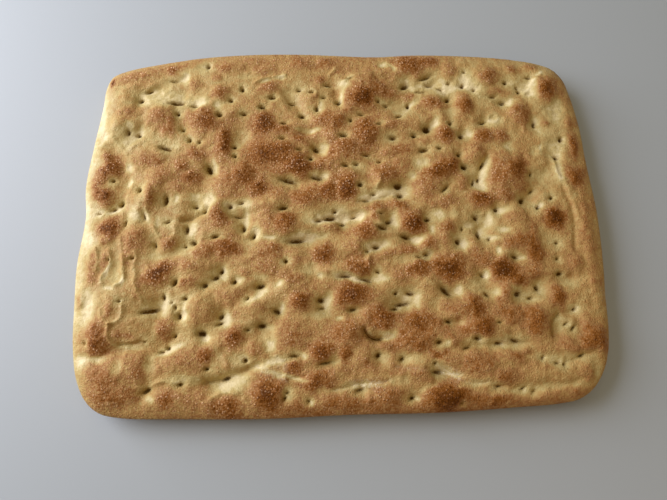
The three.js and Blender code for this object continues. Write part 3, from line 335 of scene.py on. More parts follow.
# Narrow, deep pits at the bottom of the dimples.
PITS: Rows = (
    (-159, 104, 4, 3), (-153, 112, 6, 2, 20), (-130, 100, 12, 3), (-116, 97.5, 6, 2),
    (-133, 120.5, 8, 1.6, -5), (-129, 91.5, 3, 2.6), (-167, 75, 4.5, 2.8, 90), (-159, 73, 3.5, 2.6),
    (-125, 78, 2.6, 2.2), (-119, 68, 3.5, 2.4, 90), (-111, 66, 2.6, 2.2), (-137, 61, 12, 3, -15),
    (-96, 89, 5, 3.4), (-106, 134, 3, 3), (-78, 112, 4, 3, 90), (-87, 102, 3, 3),
    (-76, 89.5, 5, 2.5), (-54, 105, 6, 3), (-62, 96, 5, 3), (-45, 82, 5, 2), (-46, 68, 5, 2),
    (-84, 62, 3, 3), (-83, 53, 3, 3), (-38, 100, 6, 2), (-30, 88, 5, 3), (-18, 94, 4, 3, 90),
    (-22, 109, 4, 2), (-8, 115, 7, 2), (-12, 104, 4, 2), (0, 99.5, 5, 2.8, 10),
    (-20, 60, 6, 3.2, -30), (-24, 52, 3, 3), (-33, 59, 5, 2), (3, 69, 6, 3), (-32, 111, 4, 2),
    (54.5, 114, 7, 3.6, 20), (72, 121, 12, 2.2, 20), (75, 115, 6, 1.6), (84, 111, 5, 2, -25),
    (91, 115, 3, 2), (102, 112, 3, 3), (68, 108.5, 10, 1.6), (89, 101, 5, 3, 35),
    (56, 96, 4, 3, 90), (38, 96, 3, 2), (32, 99, 2.6, 2.2), (18, 88, 5, 2), (9, 83, 2.5, 2.5),
    (32, 79, 5, 2), (48, 86, 6, 1.6, 20), (70, 75, 6, 5), (59, 69, 4, 3), (42, 67, 6, 3),
    (20, 53, 7, 2), (97, 68, 5, 4, 90), (79, 57, 4, 2), (66, 56, 8, 3, 10), (94, 52, 3, 3),
    (89, 79, 3, 3), (9, 120, 6, 1.5), (105, 125, 2, 2), (116, 80, 7, 2, 15), (134, 97, 4, 3),
    (138, 115, 3, 3), (147, 110, 2.5, 2.5), (148, 106, 2.5, 2.5), (158, 119, 5, 2),
    (158, 77, 5, 3, 90), (177, 63, 4, 3, 90), (126, 102, 5, 2), (111, 108, 2, 2), (171.5, 47, 4, 3),
    (-103.5, 43.5, 7, 4, 110), (-176, 35, 3, 2.5), (-155, 26.5, 3.5, 2.5, 80),
    (-135.5, 18.5, 8, 3, 80), (-169, 16.5, 4.5, 2.6, 50), (-174, 12, 4, 1.8, 20),
    (-184, 8.5, 3, 1.2), (-163.8, 0, 5, 1.2, 80), (-150.3, 5, 6, 1.5, 105),
    (-132.5, 0.5, 4, 1.8, 20), (-118.5, -5.5, 6, 3, 100), (-112.5, -16, 4, 3.5),
    (-119, -18.5, 2, 2), (-141, -17, 4, 1.6, 90), (-105, 8.5, 4, 2, 45), (-112.5, 13, 3.6, 2.2),
    (-96, -12, 6, 2.5, 18), (-157, -27, 3.6, 2.4, 20), (-174.5, -28, 3, 1.6, 80),
    (-125, -46, 6, 3, 60), (-96, -43, 5, 3, 20), (-104, -48.5, 4, 3), (-42, 33, 15, 3, -15),
    (-20, 34.5, 10, 3, -10), (-77.5, 15, 4, 2, 20), (-86, 12, 3, 3), (-80, 4.5, 9, 1.6, -5),
    (-45.5, 9.5, 7, 3, 10), (-76, -5, 5, 3, 90), (-68, -12, 4, 2.6, 60), (-10.5, 1, 10, 3.5, 8),
    (-19, -0.5, 5, 2.5), (-6.5, 6.5, 3, 2.5), (-1, -3.5, 6, 2, 5), (-36, -16.5, 14, 3, 6),
    (-44, -32, 3, 3), (-92, -38, 4, 3, 60), (-82, -46.5, 3, 3), (-63, -50, 8, 3, 10),
    (3.5, 44, 5, 2.5, -5), (12, 45, 4, 2), (30.5, 47, 4, 1.6), (14, 27.5, 4, 3.5), (24, 20, 5, 2),
    (43.5, 27, 6.5, 4.4, 15), (45, 18.5, 5, 3), (18, 14.5, 6, 1.6, 5), (80, 23, 9, 2, 40),
    (97, 41.5, 5, 4), (103, 28, 6, 2.2, 75), (34, -3, 6, 3, 25), (29, -8, 9, 3, -10),
    (8, 2, 4, 1.5, 15), (64.5, -2, 4.5, 3.2), (29, 3.5, 4, 1.5), (47, -15, 9, 3, -12),
    (24, -22, 5, 3), (17, -25.5, 3, 1.6, -10), (86, -19.5, 4, 3.5), (91, -10, 3, 2, 90),
    (62, -29, 5, 2), (56, -31.5, 5, 1.6, -12), (24.5, -42, 4, 2, -20), (0, -45, 10, 2.2),
    (15, -47.5, 10, 2.2, -15), (102, -1, 5, 3, -35), (103, -15, 6, 3, 95),
    (102.5, -46, 5, 2.2, -45), (111, 42, 7, 2.2, 60), (108, 31, 3.5, 2, 45), (149, 34, 4, 2, 75),
    (148.5, 20, 3.5, 2, 30), (140, 12, 6, 4, 40), (119, 5.5, 3.5, 3), (152, 6, 3, 3),
    (163, 13.5, 3, 2.5), (111, -18.5, 2, 2), (128.5, -33, 6, 2.6, -15), (162.5, -22.5, 3, 2),
    (160.5, -35, 2, 2), (160.5, -46.5, 5, 2.8, 20), (-163.5, -59, 2, 1.5),
    (-133.5, -56.5, 4, 2.6, 90), (-117, -58, 3, 2.5), (-127, -60.5, 3, 1.5, 40),
    (-124, -64, 3, 2, 90), (-143, -66.5, 13, 3.5, 12), (-121.5, -70.5, 5, 3, 90),
    (-105, -83.5, 6, 4), (-123.5, -85, 3, 2, 60), (-128, -93, 3, 2.5), (-132, -95.5, 4, 2),
    (-145, -88, 2, 1.5), (-186.5, -88, 2, 1.4, 90), (-118, -118.5, 3, 2.5),
    (-142, -121.5, 6, 2.6, 30), (-100.5, -108, 3, 2.5), (-72, -59, 3, 2, 60), (-51, -69, 6, 3, -30),
    (-19, -61.5, 5, 3.5), (-18, -67.5, 5, 2), (-91.5, -72, 4, 3, 60), (-92, -77, 6, 2, 25),
    (-62, -79, 6, 3.5), (-72, -82, 3, 2), (-73, -103.5, 3, 3), (-38, -101.5, 8, 2.4, -5),
    (-17, -106.5, 9, 2, 8), (-87, -115, 6, 2.5, 15), (-44, -126.5, 3, 2), (-46, -130, 3, 2.5, 60),
    (-29, -132, 3, 2, -20), (4, -69, 6, 2.5, 10), (36.5, -58, 3, 2.5), (48, -58.5, 7, 2.5, -10),
    (41, -66, 14, 2.6, 6), (35, -69.5, 6, 2.2), (73, -57.5, 10, 3.5, -35),
    (104.5, -61.5, 5, 2.2, -40), (74, -80, 5, 2.5, -10), (21, -102.5, 4, 3, 30),
    (38, -105.5, 4, 2.5, 20), (66, -94.5, 5, 3), (86, -99.5, 7, 2, 15), (94, -92.5, 5, 3, -10),
    (61.5, -109.5, 2.5, 2), (63, -115.5, 8, 2.8, -8), (7, -126, 6, 2, 10), (43.5, -132.5, 3.5, 3),
    (78, -137, 3, 2), (127, -61, 5, 3.5), (142.5, -57, 4, 3, -45), (137, -64, 3, 2),
    (165, -87, 5, 2, 45), (168, -73.5, 2.5, 2.5), (160, -84, 4, 1.6, 30), (121, -95, 9, 2.5, -18),
    (109, -96, 6, 2.5, -5), (111.5, -81.5, 3, 2), (150, -112, 4, 1.8, -5), (154.5, -113, 3, 2),
    (140, -107.5, 3, 2, 60), (168, -107, 4, 2, 20), (106, -126.5, 4, 1.6),
    (123, -128.5, 4, 1.6, 25), (131, -130.5, 3, 1.6),
)


@dataclass(frozen=True)
class Fold:
    """A line along which the skin of the dough has sunk in or stands up.

    Attributes:
        run: Points along it.
        width: Its width over all.
        depth: How deep it is, or how high if it is less than 0.
        flour: How much white flour still lies in it, from 0 to 1.
    """

    run: Rows
    width: float
    depth: float
    flour: float = 0.0

    def curve(self) -> Array:
        """The smooth line through its points."""
        return spline(np.array(self.run, float), 6, closed=False)


FOLDS: tuple[Fold, ...] = (
    # The fork of skin over a pocket near the left edge, and the crease under it.
    Fold(((-176.5, -65), (-175, -69), (-172.5, -72.5), (-169.3, -75)), 1.4, -1.2),
    Fold(((-161.2, -62), (-160.8, -67), (-162, -71.5), (-165.5, -74), (-169.3, -75)), 1.4, -1.3),
    Fold(
        (
            (-168.6, -75.5), (-169.6, -80), (-168.8, -85), (-166, -89), (-161.5, -91.3),
            (-156, -91.6),
        ),
        1.4, -1.5,
    ),
    Fold(((-165, -83.5), (-161.5, -86.6), (-156, -87.6), (-151, -86.8)), 1.4, -1.0),
    Fold(((-162, -89.2), (-156, -89.4), (-150, -88.6), (-146.8, -87.6)), 1.4, 1.5),
    Fold(((-156, -60), (-147, -63), (-137, -63)), 10.0, 1.4),
    Fold(((-153, -52), (-150, -55), (-148, -59)), 1.6, -0.8),
    # The wrinkles of loose skin above it.
    Fold(((-184.6, -18), (-182.8, -23), (-181.8, -29), (-182.2, -35)), 1.3, -1.1),
    Fold(((-188.8, -20), (-188.9, -25), (-187.6, -31)), 1.4, -0.7),
    Fold(
        (
            (-174.2, -21), (-172.8, -25), (-172.4, -30), (-174.6, -35.5), (-178, -40.5),
            (-177.2, -45),
        ),
        1.7, -1.3,
    ),
    Fold(((-169.5, -20), (-168, -24), (-168.3, -29)), 1.4, -0.5),
    Fold(((-166.8, -10), (-166.3, -16), (-165.2, -21.5)), 1.5, -0.8),
    Fold(
        (
            (-164.3, -24.5), (-163.2, -30), (-163.4, -35), (-161.8, -40.5), (-163.5, -45),
            (-167.5, -46.8),
        ),
        1.8, -1.5,
    ),
    Fold(((-160.2, -30), (-159, -35), (-159.8, -40)), 2.6, 0.8),
    Fold(((-155.3, -22), (-153.6, -26.5), (-154.8, -31)), 1.5, -1.1),
    Fold(((-155.6, -34.5), (-153.4, -39), (-154.2, -45), (-151.8, -50.5)), 1.6, -1.2),
    Fold(((-161, -8), (-159, -12), (-160.5, -16)), 1.4, -0.6),
    Fold(((-154.5, -10), (-152.8, -15)), 1.4, -0.6),
    Fold(((-147, -31), (-145, -35), (-146, -40)), 1.6, -0.7),
    Fold(((-192, -50), (-191, -56), (-192.4, -61)), 1.6, -0.8),
    Fold(((-142.5, -3), (-141, -7), (-138.8, -11)), 1.6, -1.3),
    Fold(((-128, -2), (-126.5, -7), (-129, -12)), 1.8, -1.0),
    Fold(((-179, 72), (-175, 66), (-170, 60.5), (-166.5, 57)), 1.6, -0.9),
    Fold(((-168, 66), (-165, 61), (-161, 64)), 1.6, -0.7),
    Fold(((-168.3, 50), (-166.8, 44), (-167.6, 39)), 2.0, -0.9),
    Fold(((-162, 36), (-161, 30), (-163.5, 25), (-164.6, 18)), 2.0, -0.9),
    Fold(((-170, 13), (-167, 10), (-166.3, 6)), 1.5, -0.8),
    Fold(((-149.3, 11), (-147.6, 7), (-147.8, 2.5)), 2.0, -1.3),
    Fold(((-187, 9), (-183.6, 11.5), (-182.4, 7.5)), 1.4, -0.8),
    # Long creases along the front edge.
    Fold(((-149, -115.5), (-147, -118), (-144, -120.5)), 1.6, -1.0),
    Fold(((-139, -119.5), (-135, -117), (-130, -115.5), (-125, -116.5), (-119, -117)), 1.8, -1.0),
    Fold(
        ((-100, -117), (-92, -115.8), (-86, -115), (-80, -111.5), (-72, -108.8), (-64, -107)),
        3.6, 1.5,
    ),
    Fold(((-102, -117.4), (-95, -116.5), (-86, -115.8)), 1.2, 1.0),
    Fold(((-66, -108), (-60, -108.5), (-55, -110.5), (-50, -113)), 1.2, -0.8, 0.3),
    Fold(((-62, -111), (-56, -112.5), (-50, -115.5), (-44, -117.5)), 1.4, -0.9, 0.3),
    Fold(((-57, -104), (-52, -106), (-47, -109), (-44, -112)), 1.4, -0.9, 0.2),
    Fold(((-52, -101), (-48, -104), (-45, -108)), 1.2, -0.8, 0.2),
    Fold(((-43, -117), (-37, -116.3), (-31, -115)), 1.2, 1.0),
    Fold(((-98, -129), (-92, -125.5), (-86, -124.3), (-79, -125.5)), 1.6, -1.2),
    Fold(((-74, -129), (-71, -133), (-66, -137)), 2.0, -1.4),
    Fold(
        ((-11, -125), (-2, -123.8), (6, -121.8), (14, -121.2), (22, -121.4), (28, -119.8)),
        1.2, 1.2, 0.2,
    ),
    Fold(((4, -122.6), (12, -122), (20, -122.2)), 3.0, -0.5, 0.6),
    Fold(((11, -123), (13.5, -128), (13, -134)), 2.0, -1.0),
    Fold(((34, -110.5), (40, -111.8), (47, -112.3), (54, -113)), 1.2, 0.9, 0.15),
    Fold(((56, -112.5), (62, -115), (69, -115.8)), 3.0, 1.0),
    Fold(((67, -114.5), (72, -116), (77, -118.5)), 3.4, 0.6, 0.6),
    Fold(((78, -118.8), (83, -121.8), (88, -123.3), (93, -123.9), (98, -123.4)), 1.2, 1.0, 0.2),
    Fold(((103, -126.2), (110, -126.4)), 1.2, 0.9, 0.1),
    Fold(((118, -127.8), (126, -127.2)), 1.2, 0.9, 0.1),
    Fold(
        ((100, -125.5), (112, -127.5), (124, -130.5), (138, -130.5), (150, -128), (165, -124)),
        2.6, 0.7,
    ),
    Fold(((163, -109), (170, -106.5), (176, -105), (183, -101)), 1.8, 0.8),
    # The crease along the right edge, and the wrinkles at its back end.
    Fold(((172, 26), (174, 18), (177, 8), (178, -2), (177, -14), (175, -27)), 3.0, 1.3),
    Fold(((174, 28), (177, 16), (180, 6), (181, -4)), 2.4, -1.2),
    Fold(((168, 46), (169, 36), (172, 25)), 2.8, -1.6),
    Fold(((178, 21), (181, 16), (182, 11)), 2.6, -1.0),
    Fold(((152, 104), (157, 109), (161, 116), (166.5, 119.5), (168, 123)), 1.5, -1.1),
    Fold(((163, 117.5), (167, 116.5), (170, 118.5)), 1.4, -0.7),
    # Shorter ones in the middle of the bread.
    Fold(
        (
            (128.8, 83), (126.8, 86), (123, 86.4), (120.8, 83.4), (122.6, 80), (126.4, 79.8),
            (128.8, 83),
        ),
        1.5, -0.9,
    ),
    Fold(((-122, 2), (-112, 5), (-106, 9), (-103, 12)), 3.0, 2.4),
    Fold(((12, 14), (20, 16.2), (28, 16.6), (36, 18.6)), 1.3, 0.9, 0.2),
    Fold(((4, 117.5), (10, 121), (18, 124.3), (27, 124.6)), 1.8, -1.1),
    Fold(((30, 121), (36, 116), (42, 112.5), (52, 111)), 2.4, 1.4),
    Fold(((-7, 124.5), (-4, 127.5), (-1.5, 131.5)), 1.6, -1.1),
    Fold(((156, -76.5), (152.5, -79), (150, -83), (149.2, -87.5), (149.8, -92)), 1.8, 1.9),
    Fold(((12, -84), (14, -87.5), (18, -90.5), (24, -91)), 2.6, 5.0),
    Fold(((18, -30), (17, -33), (18, -37)), 2.4, -1.5),
    Fold(((27, 26), (30, 30), (29, 34)), 2.6, -1.5),
    Fold(
        ((-68, 118), (-63.5, 121), (-59, 121.8), (-55, 123.4), (-49, 123), (-43, 124.4)),
        1.5, -1.1,
    ),
    Fold(((-21, 111.5), (-18.6, 109), (-18.4, 105.5)), 1.6, -1.0),
)


# ---- Small tools for arrays -------------------------------------------------------------------


LATTICE = 256  # knots along a side of the noises' lattice, after which they repeat


def lattice_noise(x: Array, y: Array, cell: float, seed: int) -> Array:
    """Smooth noise: random heights on a square lattice, eased from knot to knot by 3t^2 - 2t^3.

    Args:
        x: X of the points.
        y: Y of the points.
        cell: Side of a lattice cell, in the same unit.
        seed: Seed of the heights.

    Returns:
        A value from -1 to 1 for each point.
    """
    count = LATTICE
    heights = np.random.default_rng(seed).uniform(-1.0, 1.0, (count, count))
    u, v = x / cell + count / 2, y / cell + count / 2
    i, j = np.floor(u).astype(int), np.floor(v).astype(int)
    a, b = u - i, v - j
    a, b = a * a * (3 - 2 * a), b * b * (3 - 2 * b)
    i0, i1, j0, j1 = i % count, (i + 1) % count, j % count, (j + 1) % count
    near = heights[j0, i0] * (1 - a) + heights[j0, i1] * a
    far = heights[j1, i0] * (1 - a) + heights[j1, i1] * a
    return near * (1 - b) + far * b


def bubble_noise(x: Array, y: Array, cell: float, seed: int) -> tuple[Array, Array]:
    """Scattered bubbles: one random centre in each lattice cell, and the distance to the nearest.

    Args:
        x: X of the points.
        y: Y of the points.
        cell: Side of a lattice cell, in the same unit.
        seed: Seed of the centres.

    Returns:
        For each point its distance to the nearest centre, in cells, and that centre's own random
        number from 0 to 1.
    """
    count = LATTICE
    rng = np.random.default_rng(seed)
    places = rng.uniform(0.1, 0.9, (2, count, count))
    numbers = rng.uniform(0.0, 1.0, (count, count))
    u, v = x / cell + count / 2, y / cell + count / 2
    i, j = np.floor(u).astype(int), np.floor(v).astype(int)
    least = np.full(x.shape, 9.0)
    number = np.zeros(x.shape)
    for di in (-1, 0, 1):
        for dj in (-1, 0, 1):
            ci, cj = (i + di) % count, (j + dj) % count
            far = np.hypot(u - i - di - places[0, cj, ci], v - j - dj - places[1, cj, ci])
            nearer = far < least
            least = np.where(nearer, far, least)
            number = np.where(nearer, numbers[cj, ci], number)
    return least, number


def spline(points: Array, steps: int, closed: bool) -> Array:
    """A smooth curve through points: Catmull-Rom pieces with centripetal spacing, so that it
    doesn't overshoot. Each piece is the cubic through its two ends with the tangents there.

    Args:
        points: The points, one a row.
        steps: Points made on each piece.
        closed: Whether the last point joins the first.

    Returns:
        The curve's points, one a row; an open curve ends on its last point.
    """
    if closed:
        before, start = np.roll(points, 1, 0), points
        end, after = np.roll(points, -1, 0), np.roll(points, -2, 0)
    else:
        padded = np.vstack([2 * points[0] - points[1], points, 2 * points[-1] - points[-2]])
        before, start, end, after = padded[:-3], padded[1:-2], padded[2:-1], padded[3:]
    legs = ((before, start), (start, end), (end, after))
    gap = [np.linalg.norm(b - a, axis=1)[:, None] ** 0.5 for a, b in legs]
    leave = (start - before) / gap[0] - (end - before) / (gap[0] + gap[1]) + (end - start) / gap[1]
    arrive = (end - start) / gap[1] - (after - start) / (gap[1] + gap[2]) + (after - end) / gap[2]
    leave, arrive = leave * gap[1], arrive * gap[1]
    t = (np.arange(steps) / steps)[None, :, None]
    start, end, leave, arrive = (v[:, None, :] for v in (start, end, leave, arrive))
    curve = (
        start
        + leave * t
        + (-3 * start + 3 * end - 2 * leave - arrive) * t**2
        + (2 * start - 2 * end + leave + arrive) * t**3
    )
    curve = curve.reshape(-1, points.shape[1])
    return curve if closed else np.vstack([curve, points[-1]])


def run_offset(x: Array, y: Array, run: Array) -> tuple[Array, Array]:
    """The way from each point to the nearest point of a run of straight pieces.

    Args:
        x: X of the points.
        y: Y of the points.
        run: The run's points, one a row.

    Returns:
        The ways' X and Y.
    """
    way = np.full((2, *x.shape), 1e6)
    for (ax, ay), (bx, by) in zip(run[:-1], run[1:]):
        dx, dy = bx - ax, by - ay
        t = np.clip(((x - ax) * dx + (y - ay) * dy) / (dx * dx + dy * dy), 0.0, 1.0)
        this = np.stack([ax + t * dx - x, ay + t * dy - y])
        way = np.where(np.hypot(*this) < np.hypot(*way), this, way)
    return way[0], way[1]


def near(x: Array, y: Array, row: Row, spread: float) -> tuple[Array, Array]:
    """The points inside a turned ellipse, widened by a factor.

    Args:
        x: X of the points.
        y: Y of the points.
        row: The ellipse's x, y, length and width, and its turn in degrees if it has one.
        spread: The factor.

    Returns:
        The points' indices, and for each its distance from the middle as a share of the
        ellipse's own half-width in that direction, before it is widened.
    """
    cx, cy, length, width, *turns = row
    turn = math.radians(turns[0]) if turns else 0.0
    reach = spread * max(length, width) / 2
    found = np.nonzero((abs(x - cx) < reach) & (abs(y - cy) < reach))[0]
    dx, dy = x[found] - cx, y[found] - cy
    c, s = math.cos(turn), math.sin(turn)
    share = np.hypot((dx * c + dy * s) * 2 / length, (dy * c - dx * s) * 2 / width)
    inside = share < spread
    return found[inside], share[inside]


def grown(row: Row, longer: float, wider: float) -> Row:
    """The same ellipse, longer and wider by so much."""
    return (row[0], row[1], row[2] + longer, row[3] + wider, *row[4:])


def mounds(x: Array, y: Array, rows: Rows, spread: float) -> Array:
    """Soft mounds: the sum of amount exp(-share^2) over ellipses that state an amount."""
    total = np.zeros(x.shape)
    for cx, cy, length, width, amount, *turn in rows:
        found, share = near(x, y, (cx, cy, length, width, *turn), spread)
        total[found] += amount * np.exp(-(share**2))
    return total


def near_run(x: Array, y: Array, run: Array, reach: float) -> Array:
    """Indices of the points inside a run's own box, widened by a reach."""
    low, high = run.min(0) - reach, run.max(0) + reach
    return np.nonzero((x > low[0]) & (x < high[0]) & (y > low[1]) & (y < high[1]))[0]


# ---- The crust's relief and browning ----------------------------------------------------------


@dataclass(frozen=True)
class Dough:
    """The risen dough's own shape, as height and browning over its plan.

    Attributes:
        valley_height: Thickness in the valleys between the blisters.
        girth_height: Height of the widest line, where the rim turns down into the wall.
        rim_reach: How far in from the edge the top is still rounding over.
        least_rise: Rise of a blister before its width adds to it.
        rise_per_width: Further rise for each millimetre of a blister's narrower side.
        flank_spread: A blister's foot against its browned crown.
        flank_power: Shape of a blister's flank; higher is more pointed.
        merge_power: How closely blisters that meet keep to the higher of the two.
        billow_gain: Scale of the broad risings and sinkings.
        least_hollow: Depth of a hollow before its width adds to it.
        hollow_per_width: Further depth for each millimetre of a hollow's narrower side.
        hollow_paleness: How nearly the middle of a hollow has its own kind's tone.
        least_pit: Depth of a pit before its width adds to it.
        pit_per_width: Further depth for each millimetre of a pit's width.
        deepest_pit: Depth of the widest pits.
        least_shade: How dark a pit's painted shade is before its width adds to it.
        shade_per_width: How much darker a pit's painted shade is for each millimetre of width.
        deepest_shade: How dark the painted shade of the widest pits is.
        dimple_margin: How much longer and wider a finger's dimple is than the pit in it.
        least_dimple: Depth of a finger's dimple before its pit's width adds to it.
        dimple_per_width: Further depth for each millimetre of the pit's width.
        fold_blur: How much wider a fold is drawn than its own width.
        wandering: Noises that move places about, as (size, amount, seed for X, seed for Y).
        roughness: Noises of the skin, as (size, height, seed).
        wrinkle_height: Height of the skin's wrinkles.
        large_bubbles: Bubbles under the skin, as (gap, radius in gaps, height).
        small_bubbles: Smaller ones between them, likewise.
    """

    valley_height: float = 20.5
    girth_height: float = 14.0
    rim_reach: float = 17.0
    least_rise: float = 0.5
    rise_per_width: float = 0.085
    flank_spread: float = 1.35
    flank_power: float = 1.2
    merge_power: float = 3.0
    billow_gain: float = 1.6
    least_hollow: float = 0.3
    hollow_per_width: float = 0.06
    hollow_paleness: float = 0.82
    least_pit: float = 1.0
    pit_per_width: float = 0.6
    deepest_pit: float = 3.2
    least_shade: float = 0.58
    shade_per_width: float = 0.08
    deepest_shade: float = 0.97
    dimple_margin: Row = (6, 5)
    least_dimple: float = 0.3
    dimple_per_width: float = 0.2
    fold_blur: float = 1.0
    wandering: Rows = ((11, 1.5, 11, 13), (5, 0.9, 12, 14))
    roughness: Rows = ((9, 0.35, 21), (4.8, 0.14, 22), (3.0, 0.06, 23))
    wrinkle_height: float = 0.25
    large_bubbles: Row = (6.5, 0.42, 0.6)
    small_bubbles: Row = (3.6, 0.5, 0.2)

    def wander(self, x: Array, y: Array) -> tuple[Array, Array]:
        """The same places, moved a little by smooth noise, so that no blister is a true ellipse."""
        moved = [x, y]
        for size, amount, *seeds in self.wandering:
            for k, seed in enumerate(seeds):
                moved[k] = moved[k] + amount * lattice_noise(x, y, size, int(seed))
        return moved[0], moved[1]

    def blister_rise(self, x: Array, y: Array) -> Array:
        """Blisters: each is a dome (1 - share^2)^power of its own rise, and where domes meet the
        root of the sum of their powers keeps the higher one, with a soft fold between."""
        total = np.zeros(x.shape)
        for row in (row for rows in BLISTERS.values() for row in rows):
            found, share = near(x, y, row, self.flank_spread)
            rise = self.least_rise + self.rise_per_width * min(row[2], row[3])
            dome = rise * (1 - (share / self.flank_spread) ** 2) ** self.flank_power
            total[found] += dome**self.merge_power
        return total ** (1 / self.merge_power)

    def hollow_depth(self, x: Array, y: Array) -> Array:
        """Pale hollows: shallow bowls exp(-1.1 share^2), the deepest one counting."""
        depth = np.zeros(x.shape)
        for row in (row for rows in HOLLOWS.values() for row in rows):
            found, share = near(x, y, row, 2.0)
            deep = self.least_hollow + self.hollow_per_width * min(row[2], row[3])
            depth[found] = np.maximum(depth[found], deep * np.exp(-1.1 * share**2))
        return depth

    def pit_depth(self, x: Array, y: Array) -> tuple[Array, Array]:
        """Pits: a steep-sided hole exp(-1.2 share^4) in the bottom of a wider finger dimple, which
        is a bowl exp(-1.2 share^2).

        Returns:
            The depth of hole and dimple together, and the painted shade of each point, 0 to 1.
        """
        hole, shade, dimple = np.zeros(x.shape), np.zeros(x.shape), np.zeros(x.shape)
        for row in PITS:
            width = row[3]
            deep = min(self.least_pit + self.pit_per_width * width, self.deepest_pit)
            dark = min(self.least_shade + self.shade_per_width * width, self.deepest_shade)
            found, share = near(x, y, grown(row, 0.4, 0.2), 2.6)
            hole[found] = np.maximum(hole[found], deep * np.exp(-1.2 * share**4))
            # Painted shade, darkest in the hole and fading out around it.
            shade[found] = np.maximum(shade[found], np.exp(-0.4 * share**2) * dark)
            found, share = near(x, y, grown(row, *self.dimple_margin), 2.2)
            deep = self.least_dimple + self.dimple_per_width * width
            dimple[found] = np.maximum(dimple[found], deep * np.exp(-1.2 * share**2))
        return hole + dimple, shade

    def fold_depth(self, x: Array, y: Array) -> tuple[Array, Array, Array]:
        """Folds and creases: a groove or ridge exp(-(2d / w)^2) along each smooth run, where w is
        a little more than the fold's own width.

        Returns:
            The depth, less than 0 on a ridge, the flour that lies there and painted shade in
            grooves.
        """
        depth, flour, shade = np.zeros(x.shape), np.zeros(x.shape), np.zeros(x.shape)
        for fold in FOLDS:
            run = fold.curve()
            found = near_run(x, y, run, 2 * fold.width)
            width = fold.width + self.fold_blur
            share = 2 * np.hypot(*run_offset(x[found], y[found], run)) / width
            depth[found] += fold.depth * np.exp(-(share**2))
            flour[found] = np.maximum(flour[found], fold.flour * np.exp(-0.5 * share**2))
            # Painted shade along a groove, darker the deeper it is.
            dark = min(0.75, max(0.0, 0.25 * fold.depth)) * np.exp(-1.5 * share**2)
            shade[found] = np.maximum(shade[found], dark)
        return depth, flour, shade

    def browning(self, x: Array, y: Array) -> Array:
        """How far the crust has browned: gold all over, darker on the blisters' crowns and paler
        in the hollows, which fade out as exp(-0.65 share^2.2) and exp(-0.75 share^3.2). Crowns
        that lie close together brown the skin between them too, as the root of the sum of their
        powers. A pit has a pale border, which fades out as exp(-0.9 share^2)."""
        tone = Tone.GOLD.value + mounds(x, y, ZONES, 2.4)
        gain = np.zeros(x.shape)
        for kind, rows in BLISTERS.items():
            for row in rows:
                found, share = near(x, y, row, 2.4)
                crown = np.maximum(kind.value - tone[found], 0.0) * np.exp(-0.65 * share**2.2)
                gain[found] += crown**self.merge_power
        tone += gain ** (1 / self.merge_power)
        for kind, rows in HOLLOWS.items():
            paler = self.hollow_paleness * (1 - kind.value / Tone.GOLD.value)
            for row in rows:
                found, share = near(x, y, row, 1.9)
                tone[found] *= 1 - paler * np.exp(-0.75 * share**3.2)
        tone += mounds(x, y, SCORCHES, 2.2)
        for row in PITS:
            found, share = near(x, y, grown(row, 5, 5), 2.2)
            tone[found] *= 1 - min(0.75, 0.25 + 0.12 * row[3]) * np.exp(-0.9 * share**2)
        return tone

    def grain(self, x: Array, y: Array) -> Array:
        """Fine unevenness: noise in three sizes, wrinkles of the skin along the lines where slower
        noise changes sign, and small bubbles 1 - (d / r)^2 under the skin."""
        height = np.zeros(x.shape)
        for size, rise, seed in self.roughness:
            height += rise * lattice_noise(x, y, size, int(seed))
        bent = 3.0 * lattice_noise(x, y, 8, 26), 3.0 * lattice_noise(x, y, 8, 27)
        slow = lattice_noise(x * 1.5 + bent[0], y + bent[1], 12, 28)
        height += self.wrinkle_height * (1 - np.clip(2.6 * abs(slow), 0, 1)) ** 2
        gap, radius, rise = self.large_bubbles
        far, number = bubble_noise(x, y, gap, 24)
        height += rise * number**2 * np.clip(1 - (far / radius) ** 2, 0, 1)
        gap, radius, rise = self.small_bubbles
        far, number = bubble_noise(x, y, gap, 25)
        return height + rise * number * np.clip(1 - (far / radius) ** 2, 0, 1) - rise

    def top(self, x: Array, y: Array, inward: Array) -> dict[str, Array]:
        """The top surface, brought down over the rim on a quarter ellipse to the widest line.

        Args:
            x: X of the points.
            y: Y of the points.
            inward: Their distances from the edge.

        Returns:
            The height, tone, painted shade of pits and grooves, and flour of each point.
        """
        wx, wy = self.wander(x, y)
        pit, shade = self.pit_depth(0.75 * x + 0.25 * wx, 0.75 * y + 0.25 * wy)
        fold, flour, crease = self.fold_depth(x, y)
        grain = self.grain(x, y)
        relief = self.billow_gain * mounds(wx, wy, BILLOWS, 2.4) + self.blister_rise(wx, wy)
        relief += grain - self.hollow_depth(wx, wy) - pit - fold
        t = np.clip(inward / self.rim_reach, 0, 1)
        rounding = np.sqrt(1 - (1 - t) ** 2)
        height = self.girth_height + (self.valley_height + relief - self.girth_height) * rounding
        # A little lump browns a little more; stretched skin along a ridge stays paler.
        tone = self.browning(wx, wy) + 0.1 * grain + 0.04 * np.clip(fold, -2, 0)
        # The pit entry carries painted shade, in the pits and along the grooves.
        return {"height": height, "tone": tone, "pit": np.maximum(shade, crease), "flour": flour}


# ---- The bread as one closed mesh -------------------------------------------------------------


